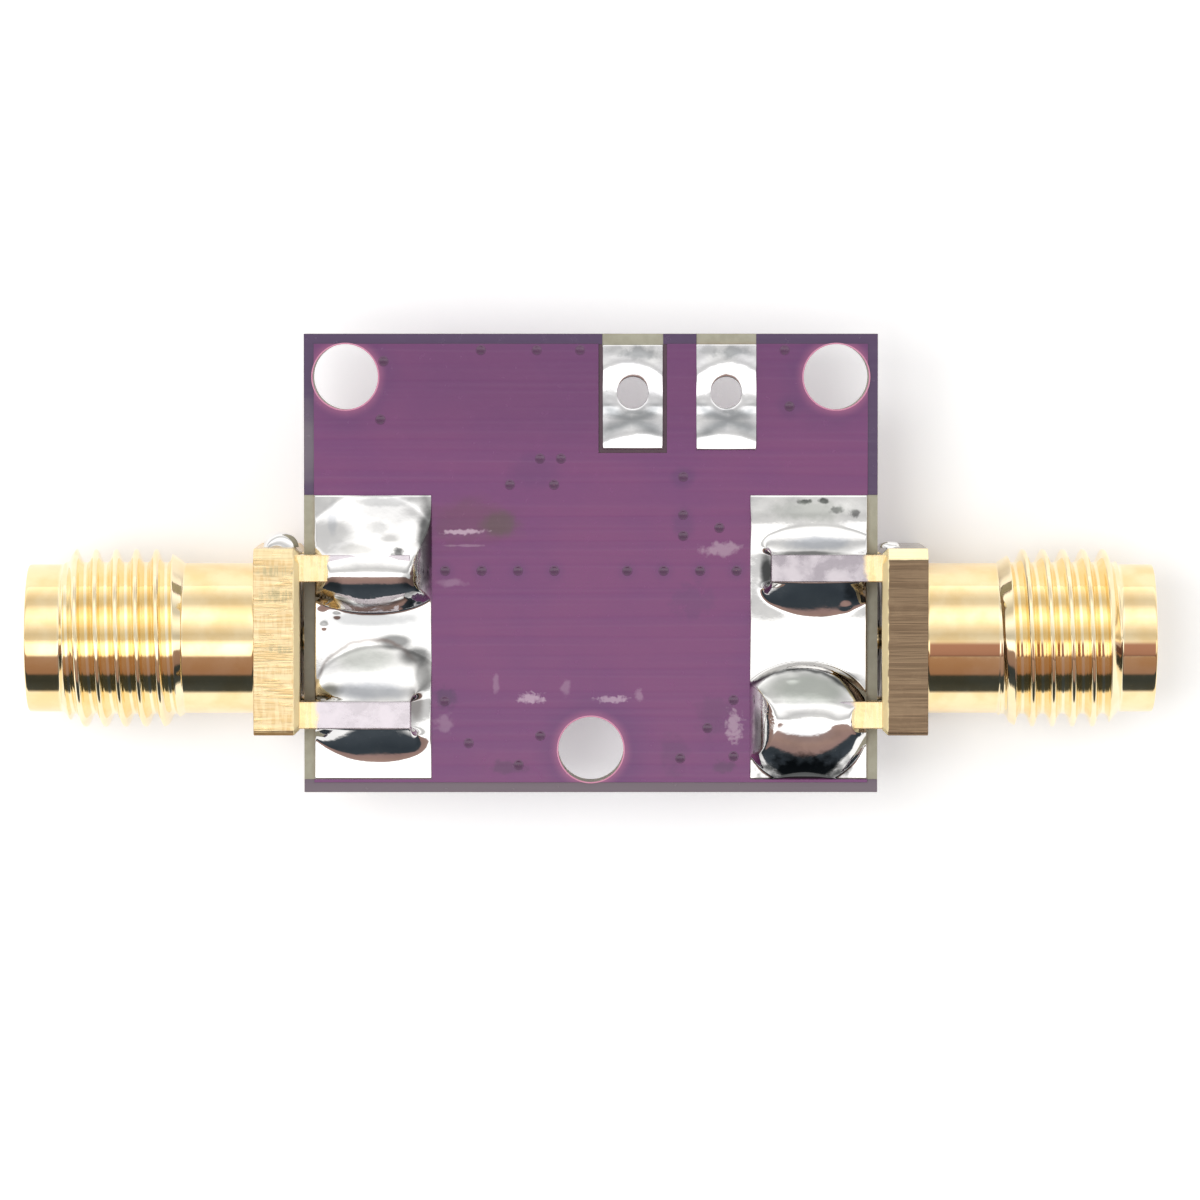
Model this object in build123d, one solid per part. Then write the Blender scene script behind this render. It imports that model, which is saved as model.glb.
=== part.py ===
from build123d import *
import os
from typing import NamedTuple

# Bias tee module: a small purple printed board between two edge-mounted coaxial jacks of the SMA type.
# The board lies component side down, as it would on a table, and stands on the two square jack flanges.
# X runs from jack to jack, +Y points at the wire pads, +Z is up, and Z = 0 is the plane it rests on.

# Printed board
board_width = 20.0
laminate_thickness = 1.5
foil_thickness = 0.05
mask_thickness = 0.03
copper_pullback = 0.36
copper_gap = 0.18

# Mounting holes: two in the upper corners, one in the middle of the lower edge
mount_hole_dia = 2.3
mount_hole_inset_x = 1.45
mount_hole_inset_y = 1.5

# Wire pads for the supply, with a plated hole in each
wire_pad_width = 2.1
wire_pad_height = 3.6
wire_pads_from_axis = 6.74
wire_hole_dia = 1.1
wire_hole_from_edge = 2.05
plus_pad_x = 1.46
minus_pad_x = 4.72
plated_wall = 0.16
tin_thickness = 0.04
isolation_gap = 0.2

# Coaxial jack, turned and milled from one bar; its 1/4-36 thread is drawn at the crest diameter
jack_axis_from_bottom = 5.3
jack_seat_gap = 0.12
flange_side = 6.5
flange_thickness = 1.6
flange_corner_bevel = 0.22
flange_back_bevel = 0.2
neck_dia = 5.3
neck_length = 2.5
thread_dia = 6.3
thread_length = 4.3
thread_lead_in = 0.275
pilot_dia = 5.2
pilot_length = 1.22
tip_chamfer = 0.1
socket_dia = 4.6
socket_depth = 1.9
insulator_dia = 4.1

# The four legs that straddle the board edge
leg_width = 0.95
leg_length = 3.85
leg_pitch = 5.1
leg_back_reach = 3.03
leg_front_thickness = 1.0
leg_tip_chamfer = 0.08

# Spring contact in the middle of the jack
contact_dia = 1.27
contact_hole_dia = 0.94
contact_hole_depth = 2.6
contact_slot_width = 0.15
contact_slot_depth = 1.9
pin_dia = 0.8
pin_length = 2.6
pin_tip_chamfer = 0.1
seat_film = 0.02

# Pads under the jacks and the solder on them
jack_pad_length = 4.1
jack_pad_height = 9.95
jack_pad_shift = 0.12
solder_film = 0.06
back_mound_height = 0.8
back_mound_inset = 0.12
front_mound_height = 0.7
front_mound_shift = 0.1
pin_mound_height = 0.55
# How far the crown of each mound stops short of the leg's two ends, and how far it stands out beside the leg
back_crown_short = 0.15
back_crown_side = 0.14
front_crown_short = 0.2
front_crown_side = 0.1
pin_crown_short = 0.3
pin_crown_side = 0.06
solder_corner_share = 0.5
# How the solder narrows: share of the height, and how wide it still is there between crown and foot
hollow_steps = [(0.0, 1.0), (0.14, 0.72), (0.45, 0.38), (1.0, 0.0)]
round_steps = [(0.0, 1.0), (0.45, 0.88), (0.85, 0.45), (1.0, 0.0)]
bead_crown_share = 0.25


class Bead(NamedTuple):
    """Solder on the upper side of a flange, placed by its distance from the board and its level."""
    radius: float
    bulge: float
    outward: float
    level: float


left_bead = Bead(radius=0.42, bulge=0.5, outward=0.66, level=4.7)
right_bead = Bead(radius=0.32, bulge=0.22, outward=0.33, level=5.2)

# Signal line on the component side
rf_line_width = 1.4
rf_line_gap_x = -2.4
rf_line_gap = 0.9



class Chip(NamedTuple):
    """A part with two metal ends on the component side."""
    length: float
    width: float
    height: float
    end_length: float


blocking_chip = Chip(length=1.6, width=0.8, height=0.8, end_length=0.36)
bypass_small_chip = Chip(length=1.0, width=0.5, height=0.5, end_length=0.24)
bypass_large_chip = Chip(length=1.6, width=0.8, height=0.8, end_length=0.36)
rf_choke = Chip(length=2.0, width=1.25, height=1.1, end_length=0.45)
bulk_choke = Chip(length=2.0, width=1.6, height=1.6, end_length=0.45)
chip_end_wall = 0.03
chip_fillet_length = 0.28
chip_fillet_share = 0.6
chip_fillet_limit = 0.48
choke_foot_thickness = 0.06
choke_spindle_share = 0.45
choke_winding_share = 0.84

# Where they sit: each in a row from the jack axis, clear of the one before and its solder
rf_choke_x = 0.0
rf_choke_from_axis = 1.35
bulk_choke_x = 0.5
choke_gap = 0.3
chip_gap = 0.05
bypass_small_step = 1.35
bypass_large_drop = 0.09

# How far a cutting shape runs past what it cuts
overrun = 1.0

# Levels and places worked out from the sizes above
board_height = jack_axis_from_bottom + wire_pads_from_axis + wire_pad_height + copper_pullback
half_width = board_width / 2
half_height = board_height / 2
axis_y = jack_axis_from_bottom - half_height
axis_z = flange_side / 2
front_foil_z = axis_z + pin_dia / 2 + seat_film
laminate_low_z = front_foil_z + foil_thickness
laminate_high_z = laminate_low_z + laminate_thickness
back_foil_z = laminate_high_z + foil_thickness
jack_back_x = half_width + jack_seat_gap
neck_start = flange_thickness
thread_start = neck_start + neck_length
thread_end = thread_start + thread_length
jack_length = thread_end + pilot_length
reference_plane = jack_length - socket_depth
pad_outer_x = half_width - copper_pullback
pad_inner_x = pad_outer_x - jack_pad_length
pad_high_y = axis_y + jack_pad_shift + jack_pad_height / 2
pad_low_y = pad_high_y - jack_pad_height
wire_pad_low_y = axis_y + wire_pads_from_axis
wire_pad_high_y = wire_pad_low_y + wire_pad_height
wire_hole_y = half_height - wire_hole_from_edge
chip_standoff = mask_thickness + seat_film
line_half = rf_line_width / 2
leg_offset = leg_pitch / 2
rf_choke_y = axis_y + rf_choke_from_axis
bulk_choke_y = rf_choke_y + (rf_choke.length + bulk_choke.length) / 2 + 2 * chip_fillet_length + choke_gap
bulk_choke_far_y = bulk_choke_y + bulk_choke.length / 2
rf_choke_centre = (rf_choke_x, rf_choke_y)
bulk_choke_centre = (bulk_choke_x, bulk_choke_y)
bypass_small_centre = (bulk_choke_x - bypass_small_step,
                       bulk_choke_far_y + chip_fillet_length + chip_gap + bypass_small_chip.width / 2)
bypass_large_centre = (bulk_choke_x + bulk_choke.width / 2 + chip_gap + chip_fillet_length
                       + bypass_large_chip.length / 2, bulk_choke_far_y - bypass_large_drop)


def rectangle_between(x0, y0, x1, y1):
    """A flat rectangle given by two opposite corners."""
    return Pos((x0 + x1) / 2, (y0 + y1) / 2) * Rectangle(abs(x1 - x0), abs(y1 - y0))


def slab(outline, low, high):
    """A flat outline made solid between two levels."""
    return extrude(Pos(0, 0, low) * outline, high - low)


def box_between(x0, x1, y0, y1, z0, z1):
    return Pos((x0 + x1) / 2, (y0 + y1) / 2, (z0 + z1) / 2) * Box(abs(x1 - x0), abs(y1 - y0), abs(z1 - z0))


def circles_at(centres, radius):
    return [Pos(x, y) * Circle(radius) for x, y in centres]


def mount_hole_centres():
    side = half_width - mount_hole_inset_x
    top = half_height - mount_hole_inset_y
    return [(-side, top), (side, top), (0, -top)]


def wire_hole_centres():
    return [(plus_pad_x, wire_hole_y), (minus_pad_x, wire_hole_y)]


def board_outline():
    return Rectangle(board_width, board_height)


def ground_outline():
    """The ground foil common to both faces, clear of the board edge and drilled with the mounting holes."""
    pour = Rectangle(board_width - 2 * copper_pullback, board_height - 2 * copper_pullback)
    pour -= circles_at(mount_hole_centres(), mount_hole_dia / 2)
    for x, y in mount_hole_centres()[:2]:
        pour -= rectangle_between(x, y, 2 * x, 2 * y)
    return pour


def wire_pad(x):
    return rectangle_between(x - wire_pad_width / 2, wire_pad_low_y, x + wire_pad_width / 2, wire_pad_high_y)


def isolated_window(x):
    """The bare window round the plus pad, open to the board edge."""
    reach = wire_pad_width / 2 + isolation_gap
    return rectangle_between(x - reach, wire_pad_low_y - isolation_gap, x + reach, half_height)


def jack_pad(side):
    return rectangle_between(side * pad_inner_x, pad_low_y, side * pad_outer_x, pad_high_y)


def plated_hole_radius():
    return wire_hole_dia / 2 + plated_wall


def make_laminate():
    outline = board_outline() - circles_at(mount_hole_centres(), mount_hole_dia / 2)
    outline -= circles_at(wire_hole_centres(), plated_hole_radius())
    return slab(outline, laminate_low_z, laminate_high_z)


def back_foil_outline():
    minus_hole = circles_at([(minus_pad_x, wire_hole_y)], plated_hole_radius())
    return ground_outline() - isolated_window(plus_pad_x) - minus_hole


def make_terminal(x, insulated):
    """The tinned pad on each face of the board, and the plated barrel that joins them."""
    pad = wire_pad(x)
    hole = Pos(x, wire_hole_y) * Circle(wire_hole_dia / 2)
    barrel = Pos(x, wire_hole_y) * Circle(plated_hole_radius())
    low, high = front_foil_z - tin_thickness, back_foil_z + tin_thickness
    back_seat = laminate_high_z if insulated else back_foil_z
    front_seat = laminate_low_z if insulated else front_foil_z
    spool = slab(pad, back_seat, high) + slab(pad, low, front_seat) + slab(barrel, low, high)
    return spool - slab(hole, low - overrun, high + overrun)


def hull(*outlines):
    """The smallest upright rectangle round several outlines."""
    boxes = [outline.bounding_box() for outline in outlines]
    return rectangle_between(min(b.min.X for b in boxes), min(b.min.Y for b in boxes),
                             max(b.max.X for b in boxes), max(b.max.Y for b in boxes))


def line_pieces():
    """The foil outlines on the component side that aren't ground, by node name."""
    gap_left = rf_line_gap_x - rf_line_gap / 2
    gap_right = rf_line_gap_x + rf_line_gap / 2
    low, high = axis_y - line_half, axis_y + line_half
    rf_near = end_window(rf_choke, rf_choke_centre, True, -1)
    rf_far = end_window(rf_choke, rf_choke_centre, True, 1)
    bulk_near = end_window(bulk_choke, bulk_choke_centre, True, -1)
    bulk_far = end_window(bulk_choke, bulk_choke_centre, True, 1)
    small_end = end_window(bypass_small_chip, bypass_small_centre, False, 1)
    large_end = end_window(bypass_large_chip, bypass_large_centre, False, -1)
    neck = rectangle_between(bulk_choke_x - bulk_choke.width / 2, rf_choke_y + rf_choke.length / 2,
                             rf_choke_x + rf_choke.width / 2, bulk_choke_y - bulk_choke.length / 2)
    supply = hull(bulk_far, small_end) + hull(bulk_far, large_end)
    supply += rectangle_between(plus_pad_x - wire_pad_width / 2, bulk_choke_far_y,
                                supply.bounding_box().max.X, wire_pad_low_y)
    return {
        "rf_line_left": rectangle_between(-pad_outer_x, low, gap_left, high),
        "rf_line_right": rectangle_between(gap_right, low, pad_outer_x, high) + rf_near,
        "choke_link_trace": rf_far + neck + bulk_near,
        "supply_trace": supply,
    }


def grown(outline, amount):
    return offset(outline, amount, kind=Kind.INTERSECTION)


def front_ground_outline():
    outline = ground_outline() - isolated_window(plus_pad_x)
    outline -= circles_at([(minus_pad_x, wire_hole_y)], plated_hole_radius())
    for piece in line_pieces().values():
        outline -= grown(piece, copper_gap)
    return outline


def coat(copper, openings, seat_z, direction):
    """The solder mask over one face: it covers the foil, fills the gaps in it, and leaves the openings bare."""
    drilled = board_outline() - circles_at(mount_hole_centres(), mount_hole_dia / 2)
    foil_z = seat_z + direction * foil_thickness
    outer_z = foil_z + direction * mask_thickness
    skin = slab(drilled - openings, min(seat_z, outer_z), max(seat_z, outer_z))
    return skin - slab(copper, min(seat_z, foil_z), max(seat_z, foil_z))


def back_openings():
    """Windows in the back mask: the jack pads and the wire pads, run out over the board edge."""
    windows = isolated_window(plus_pad_x)
    windows += rectangle_between(minus_pad_x - wire_pad_width / 2, wire_pad_low_y,
                                 minus_pad_x + wire_pad_width / 2, half_height)
    for side in (-1, 1):
        windows += rectangle_between(side * pad_inner_x, pad_low_y, side * half_width, pad_high_y)
    return windows


def chip_places():
    """Every two-ended part on the component side: size, centre and whether it lies along Y."""
    return {
        "blocking_capacitor": (blocking_chip, (rf_line_gap_x, axis_y), False),
        "bypass_capacitor_small": (bypass_small_chip, bypass_small_centre, False),
        "bypass_capacitor_large": (bypass_large_chip, bypass_large_centre, False),
        "rf_choke": (rf_choke, rf_choke_centre, True),
        "bulk_choke": (bulk_choke, bulk_choke_centre, True),
    }


def end_window(size, centre, upright, end):
    """The opening in the front mask at one end of a part, its solder toe included."""
    near = size.length / 2 - size.end_length
    far = size.length / 2 + chip_fillet_length
    half = size.width / 2
    x, y = centre
    if upright:
        return rectangle_between(x - half, y + end * near, x + half, y + end * far)
    return rectangle_between(x + end * near, y - half, x + end * far, y + half)


def front_openings():
    windows = isolated_window(plus_pad_x)
    windows += rectangle_between(minus_pad_x - wire_pad_width / 2, wire_pad_low_y,
                                 minus_pad_x + wire_pad_width / 2, half_height)
    ground_inner = line_half + copper_gap
    for side in (-1, 1):
        windows += rectangle_between(side * pad_inner_x, axis_y + ground_inner, side * half_width, pad_high_y)
        windows += rectangle_between(side * pad_inner_x, axis_y - ground_inner, side * half_width, pad_low_y)
        windows += rectangle_between(side * (pad_outer_x - pin_length), axis_y - line_half,
                                     side * half_width, axis_y + line_half)
    for size, centre, upright in chip_places().values():
        for end in (-1, 1):
            windows += end_window(size, centre, upright, end)
    return windows


def make_back_mask():
    return coat(back_foil_outline(), back_openings(), laminate_high_z, 1)


def make_front_mask():
    copper = front_ground_outline()
    for piece in line_pieces().values():
        copper += piece
    return coat(copper, front_openings(), laminate_low_z, -1)


def turned_barrel():
    """Neck, thread and pilot, turned about the jack axis."""
    shoulder_end = thread_start + (thread_dia - neck_dia) / 4
    outer = make_face(Polyline(
        (0, 0), (0, neck_dia / 2), (thread_start, neck_dia / 2), (shoulder_end, thread_dia / 2),
        (thread_end - thread_lead_in, thread_dia / 2), (thread_end, pilot_dia / 2),
        (jack_length - tip_chamfer, pilot_dia / 2),
        (jack_length, pilot_dia / 2 - tip_chamfer), (jack_length, 0), close=True))
    return revolve(outer, Axis.X)


def stepped_bore():
    end = jack_length + overrun
    outline = make_face(Polyline(
        (-overrun, 0), (-overrun, insulator_dia / 2), (reference_plane, insulator_dia / 2),
        (reference_plane, socket_dia / 2), (end, socket_dia / 2), (end, 0), close=True))
    return revolve(outline, Axis.X)


def make_flange():
    plate = box_between(0, flange_thickness, -flange_side / 2, flange_side / 2, -flange_side / 2, flange_side / 2)
    plate = chamfer(plate.edges().filter_by(Axis.X), flange_corner_bevel)
    back_edges = plate.faces().sort_by(Axis.X)[0].edges()
    return chamfer(back_edges, flange_back_bevel)


def leg_boxes(spare=0.0):
    """The four legs in the jack's own frame, with the board's levels measured from the jack axis."""
    back_low = back_foil_z + seat_film - axis_z
    front_high = front_foil_z - seat_film - axis_z
    legs = []
    for side in (-1, 1):
        for low, high in ((back_low, leg_back_reach), (front_high - leg_front_thickness, front_high)):
            near_y = side * leg_offset - leg_width / 2
            leg = box_between(-leg_length, flange_back_bevel + spare, near_y, near_y + leg_width, low, high)
            legs.append(leg if spare else chamfer(leg.faces().sort_by(Axis.X)[0].edges(), leg_tip_chamfer))
    return legs


def make_jack_body():
    body = make_flange() + turned_barrel() + leg_boxes()
    return body - stepped_bore()


def make_insulator():
    tube = Pos(reference_plane / 2, 0, 0) * Rot(0, 90, 0) * Cylinder(insulator_dia / 2, reference_plane)
    return tube - Pos(reference_plane / 2, 0, 0) * Rot(0, 90, 0) * Cylinder(contact_dia / 2, reference_plane)


def make_contact():
    """A slotted spring socket at the mating end, and a round pin that lies on the signal line."""
    outline = make_face(Polyline(
        (-pin_length, 0), (-pin_length, pin_dia / 2 - pin_tip_chamfer),
        (-pin_length + pin_tip_chamfer, pin_dia / 2), (0, pin_dia / 2),
        (0, contact_dia / 2), (reference_plane, contact_dia / 2),
        (reference_plane, contact_hole_dia / 2), (reference_plane - contact_hole_depth, contact_hole_dia / 2),
        (reference_plane - contact_hole_depth - contact_hole_dia / 4, 0), close=True))
    contact = revolve(outline, Axis.X)
    slot_end = reference_plane - contact_slot_depth
    half = contact_slot_width / 2
    for wide_y, wide_z in ((contact_dia, half), (half, contact_dia)):
        contact -= box_between(slot_end, reference_plane + overrun, -wide_y, wide_y, -wide_z, wide_z)
    return contact


def in_place(shape, side):
    """A jack piece moved to its end of the board: side 1 is the right, side -1 the left."""
    turn = 0 if side > 0 else 180
    return Pos(side * jack_back_x, axis_y, axis_z) * Rot(0, 0, turn) * shape


def blob(centre, foot, crown, height, steps):
    """A lump of solder on a flat seat, as bands between octagons that go from the foot to the crown."""
    rings = []
    for rise, spread in steps:
        wide = crown[0] + (foot[0] - crown[0]) * spread
        deep = crown[1] + (foot[1] - crown[1]) * spread
        outline = Rectangle(2 * wide, 2 * deep)
        corner = solder_corner_share * min(wide, deep)
        rings.append(Pos(centre[0], centre[1], height * rise) * chamfer(outline.vertices(), corner))
    return loft(rings, ruled=True)


def leg_clearance(side):
    """The room that the four legs of one jack take, for cutting the solder round them."""
    return [in_place(leg, side) for leg in leg_boxes(spare=overrun)]


def make_back_solder(side):
    """One flow of solder over the whole jack pad, heaped against the two back legs."""
    film = slab(jack_pad(side), back_foil_z, back_foil_z + solder_film)
    centre_x = side * (pad_outer_x + pad_inner_x) / 2
    crown = (leg_length / 2 - back_crown_short, leg_width / 2 + back_crown_side)
    for end in (-1, 1):
        y = axis_y + end * leg_offset
        room = (pad_high_y - y) if end > 0 else (y - pad_low_y)
        foot = (jack_pad_length / 2, min(room, leg_offset) - back_mound_inset)
        film += Pos(0, 0, back_foil_z) * blob((centre_x, y), foot, crown, back_mound_height, hollow_steps)
    return film - leg_clearance(side)


def under_board(shape):
    """Something built on a flat seat, turned over and hung from the foil on the component side."""
    return Pos(0, 0, front_foil_z) * mirror(shape, Plane.XY)


def make_front_solder(side):
    """A joint round each component-side leg, one solid each."""
    joints = []
    centre_x = side * (pad_outer_x + pad_inner_x) / 2
    crown = (leg_length / 2 - front_crown_short, leg_width / 2 + front_crown_side)
    for end in (-1, 1):
        y = axis_y + end * (leg_offset + front_mound_shift)
        foot = (jack_pad_length / 2, leg_offset + front_mound_shift - line_half - 2 * copper_gap)
        raised = blob((centre_x, y), foot, crown, front_mound_height, hollow_steps)
        joints.append(under_board(raised) - leg_clearance(side))
    return Compound(children=joints)


def make_pin_solder(side):
    """The joint between the centre pin and the signal line."""
    centre = (side * (pad_outer_x - pin_length / 2), axis_y)
    crown = (pin_length / 2 - pin_crown_short, pin_dia / 2 + pin_crown_side)
    raised = blob(centre, (pin_length / 2, line_half), crown, pin_mound_height, hollow_steps)
    pin = Pos(-pin_length / 2, 0, 0) * Rot(0, 90, 0) * Cylinder(pin_dia / 2, pin_length + 2 * overrun)
    return under_board(raised) - in_place(pin, side)


def on_front(x, y, upright):
    """A place on the component side, with the part's own Z pointing away from the board."""
    face = Plane(origin=(0, 0, front_foil_z), x_dir=(1, 0, 0), z_dir=(0, 0, -1))
    return face.location * Pos(x, -y, 0) * Rot(0, 0, 90 if upright else 0)


def make_chip(size):
    """A layered chip: its ceramic block, and the metal cup at each end."""
    length, width, height, end_length = size
    wall = chip_end_wall
    middle = Pos(0, 0, chip_standoff + height / 2)
    block = middle * Box(length - 2 * wall, width - 2 * wall, height - 2 * wall)
    ends = []
    for end in (-1, 1):
        cup = middle * Pos(end * (length - end_length) / 2, 0, 0) * Box(end_length, width, height)
        ends.append(cup - block)
    return block, Compound(children=ends)


def make_choke(size):
    """A wire-wound chip inductor: bobbin, winding and the metal foot under each end."""
    length, width, height, foot_length = size
    base = chip_standoff + choke_foot_thickness
    cheek_height = height - choke_foot_thickness
    centre_z = base + cheek_height / 2
    thinner = min(width, cheek_height)
    spindle = thinner * choke_spindle_share
    wire_radius = thinner * choke_winding_share / 2
    gap = length - 2 * foot_length
    bobbin = Pos(0, 0, centre_z) * Box(gap, spindle, spindle)
    feet = []
    for end in (-1, 1):
        x = end * (length - foot_length) / 2
        bobbin += Pos(x, 0, centre_z) * Box(foot_length, width, cheek_height)
        foot_z = chip_standoff + choke_foot_thickness / 2
        feet.append(Pos(x, 0, foot_z) * Box(foot_length, width, choke_foot_thickness))
    winding = Pos(0, 0, centre_z) * Rot(0, 90, 0) * (Cylinder(wire_radius, gap) - Box(spindle, spindle, gap))
    return bobbin, winding, Compound(children=feet)


def chip_joints(size, centre, upright):
    """The solder under and beside both ends of a part, as one profile drawn across its width."""
    length, width, height, end_length = size
    rise = chip_standoff + min(height * chip_fillet_share, chip_fillet_limit)
    inner, face, toe = length / 2 - end_length, length / 2, length / 2 + chip_fillet_length
    profile = make_face(Polyline((inner, 0), (toe, 0), (face + chip_fillet_length / 4, rise / 2.5), (face, rise),
                                 (face, chip_standoff), (inner, chip_standoff), close=True))
    upright_profile = Plane.XZ * profile
    wedge = extrude(upright_profile, width / 2, both=True)
    other = wedge.rotate(Axis.Z, 180)
    place = on_front(*centre, upright)
    return [place * wedge, place * other]


def make_bead(side):
    """A bead of solder that has run onto the upper side of the flange."""
    bead = right_bead if side > 0 else left_bead
    corner = (side * (jack_back_x + bead.outward), axis_y + flange_side / 2, bead.level)
    seat = Plane(origin=corner, z_dir=(0, 1, 0))
    foot = (bead.radius, bead.radius)
    crown = (bead.radius * bead_crown_share, bead.radius * bead_crown_share)
    return seat.location * blob((0, 0), foot, crown, bead.bulge, round_steps)


def save(shape, name):
    export_step(shape, f"parts/{name}.step")


def main():
    os.makedirs("parts", exist_ok=True)
    save(make_laminate(), "board_laminate")
    save(slab(back_foil_outline(), laminate_high_z, back_foil_z), "ground_foil_back")
    save(slab(front_ground_outline(), front_foil_z, laminate_low_z), "ground_foil_front")
    for name, outline in line_pieces().items():
        save(slab(outline, front_foil_z, laminate_low_z), name)
    save(make_back_mask(), "solder_mask_back")
    save(make_front_mask(), "solder_mask_front")
    save(make_terminal(plus_pad_x, insulated=True), "plus_terminal")
    save(make_terminal(minus_pad_x, insulated=False), "minus_terminal")

    body, insulator, contact = make_jack_body(), make_insulator(), make_contact()
    for side, word in ((-1, "left"), (1, "right")):
        save(in_place(body, side), f"{word}_jack_body")
        save(in_place(insulator, side), f"{word}_jack_insulator")
        save(in_place(contact, side), f"{word}_jack_contact")
        save(make_back_solder(side), f"{word}_back_solder")
        save(make_front_solder(side), f"{word}_front_solder")
        save(make_pin_solder(side), f"{word}_pin_solder")
        save(make_bead(side), f"{word}_edge_bead")

    joints = []
    for name, (size, centre, upright) in chip_places().items():
        place = on_front(*centre, upright)
        joints += chip_joints(size, centre, upright)
        if name.endswith("choke"):
            bobbin, winding, feet = make_choke(size)
            save(place * bobbin, f"{name}_bobbin")
            save(place * winding, f"{name}_winding")
            save(place * feet, f"{name}_feet")
        else:
            block, ends = make_chip(size)
            save(place * block, name)
            save(place * ends, f"{name}_ends")
    save(Compound(children=joints), "chip_solder")


main()
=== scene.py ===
import math
import bpy
import numpy as np
from mathutils import Matrix, Vector


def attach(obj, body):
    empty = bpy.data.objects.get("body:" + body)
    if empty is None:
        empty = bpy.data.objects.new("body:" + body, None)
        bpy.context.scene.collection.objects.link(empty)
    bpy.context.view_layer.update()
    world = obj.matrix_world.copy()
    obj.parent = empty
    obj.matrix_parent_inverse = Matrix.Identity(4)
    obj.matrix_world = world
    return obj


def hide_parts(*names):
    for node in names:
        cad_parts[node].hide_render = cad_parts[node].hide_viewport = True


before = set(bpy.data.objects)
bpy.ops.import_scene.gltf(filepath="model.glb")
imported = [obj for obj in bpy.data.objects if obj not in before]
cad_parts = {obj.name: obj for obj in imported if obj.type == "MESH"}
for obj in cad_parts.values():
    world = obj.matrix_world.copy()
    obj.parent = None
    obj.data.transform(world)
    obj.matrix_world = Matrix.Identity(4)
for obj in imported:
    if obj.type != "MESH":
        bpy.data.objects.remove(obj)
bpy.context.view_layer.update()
mm = 0.001  # every size below is in millimetres
sideWords = {-1: "left", 1: "right"}
endWords = {-1: "Lower", 1: "Upper"}
print("stage: frame loaded")

# levels and places that the pieces share, the same as in the solids
board = {
    "halfWidth": 10.0, "halfHeight": 8.0, "laminateLow": 3.72, "laminateHigh": 5.22,
    "foil": 0.05, "mask": 0.03, "pullback": 0.36, "coatEdge": 0.015,
}
backFoil = board["laminateHigh"] + board["foil"]
frontFoil = board["laminateLow"] - board["foil"]
backTop = backFoil + board["mask"]
jack = {
    "axisY": -2.7, "axisZ": 3.25, "back": 10.12, "flangeSide": 6.5, "flangeThick": 1.6,
    "backBevel": 0.2, "neckRadius": 2.65, "neckEnd": 4.15,
    "crestRadius": 3.15, "rootRadius": 2.68, "pitch": 25.4 / 36, "threadEnd": 8.42, "threadStep": 0.02,
    "rearTaper": 0.75, "frontTaper": 0.46, "pilotRadius": 2.6, "length": 9.62,
    "socketRadius": 2.3, "socketDepth": 1.9, "dielectricRadius": 2.05, "rimRounding": 0.07,
    "cornerBevels": {-1: {"upper": 0.36, "lower": 0.16}, 1: {"upper": 0.36, "lower": 0.1}},
    "crestPhase": {-1: 7.62, 1: 7.17},  # where a crest stands at the angle 0, from the flange's back
    "legWidth": 0.95, "legTip": -3.85, "legRoot": 0.3, "legOffset": 2.55, "legTop": 3.03,
    "legFrontThick": 1.0, "legGap": 0.02, "legEdge": 0.05, "flangeEdge": 0.035,
}
flangeTop = jack["axisZ"] + jack["flangeSide"] / 2
pads = {"outerX": 9.64, "innerX": 5.54, "lowY": -7.555, "highY": 2.395}
wirePads = {"plusX": 1.46, "minusX": 4.72, "width": 2.1, "plusSpan": (3.97, 7.62), "minusSpan": (3.94, 7.64),
            "trenchSide": 0.15, "trenchFoot": 0.13, "holeY": 5.95, "holeRadius": 0.55}
mountHoles = {"centres": [(-8.55, 6.5), (8.55, 6.5), (0.0, -6.5)], "radius": 1.15}
vias = {
    "radius": 0.15, "dip": 0.018, "fenceStep": 1.27, "fenceLevel": -0.26, "fenceCount": 4,
    "loose": [
        (-7.22, 7.04), (-7.33, 5.01), (-3.83, 7.43), (-1.88, 7.43), (-0.375, 7.43), (6.75, 7.43),
        (6.92, 5.47),
        (-1.77, 3.65), (-1.04, 3.65), (-2.82, 2.74), (-1.28, 2.74), (3.22, 3.02), (3.22, 1.69), (3.22, 0.96),
        (4.48, 1.24), (-4.26, -6.28), (-1.76, -6.02), (-2.52, -7.04), (4.98, -4.77), (-5.1, -4.81),
        (4.07, -5.75), (3.12, -6.81), (4.98, -6.74)],
}


# mesh helpers
def addObject(name, data):
    item = bpy.data.objects.new(name, data)
    bpy.context.scene.collection.objects.link(item)
    return item


def paint(data, material):
    data.materials.clear()
    data.materials.append(material)


def buildMesh(name, points, faces, smooth=True):
    mesh = bpy.data.meshes.new(name)
    mesh.from_pydata((np.asarray(points, float) * mm).tolist(), [], faces)
    mesh.validate()
    for polygon in mesh.polygons:
        polygon.use_smooth = smooth
    mesh.update()
    return addObject(name, mesh)


def finishPiece(piece, material, slotName, *nodes):
    paint(piece.data, material)
    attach(piece, "root")
    if nodes:
        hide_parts(*nodes)
    return piece


def roundEdges(piece, width, segments=3, angle=30):
    bevel = piece.modifiers.new("rounding", "BEVEL")
    bevel.width = width * mm
    bevel.segments = segments
    bevel.limit_method = "ANGLE"
    bevel.angle_limit = math.radians(angle)
    bevel.harden_normals = True
    return piece


def gridFaces(rows, columns, wrap=False):
    faces = []
    last = columns if wrap else columns - 1
    for i in range(rows - 1):
        for j in range(last):
            k = (j + 1) % columns
            faces.append((i * columns + j, i * columns + k, (i + 1) * columns + k, (i + 1) * columns + j))
    return faces


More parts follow.
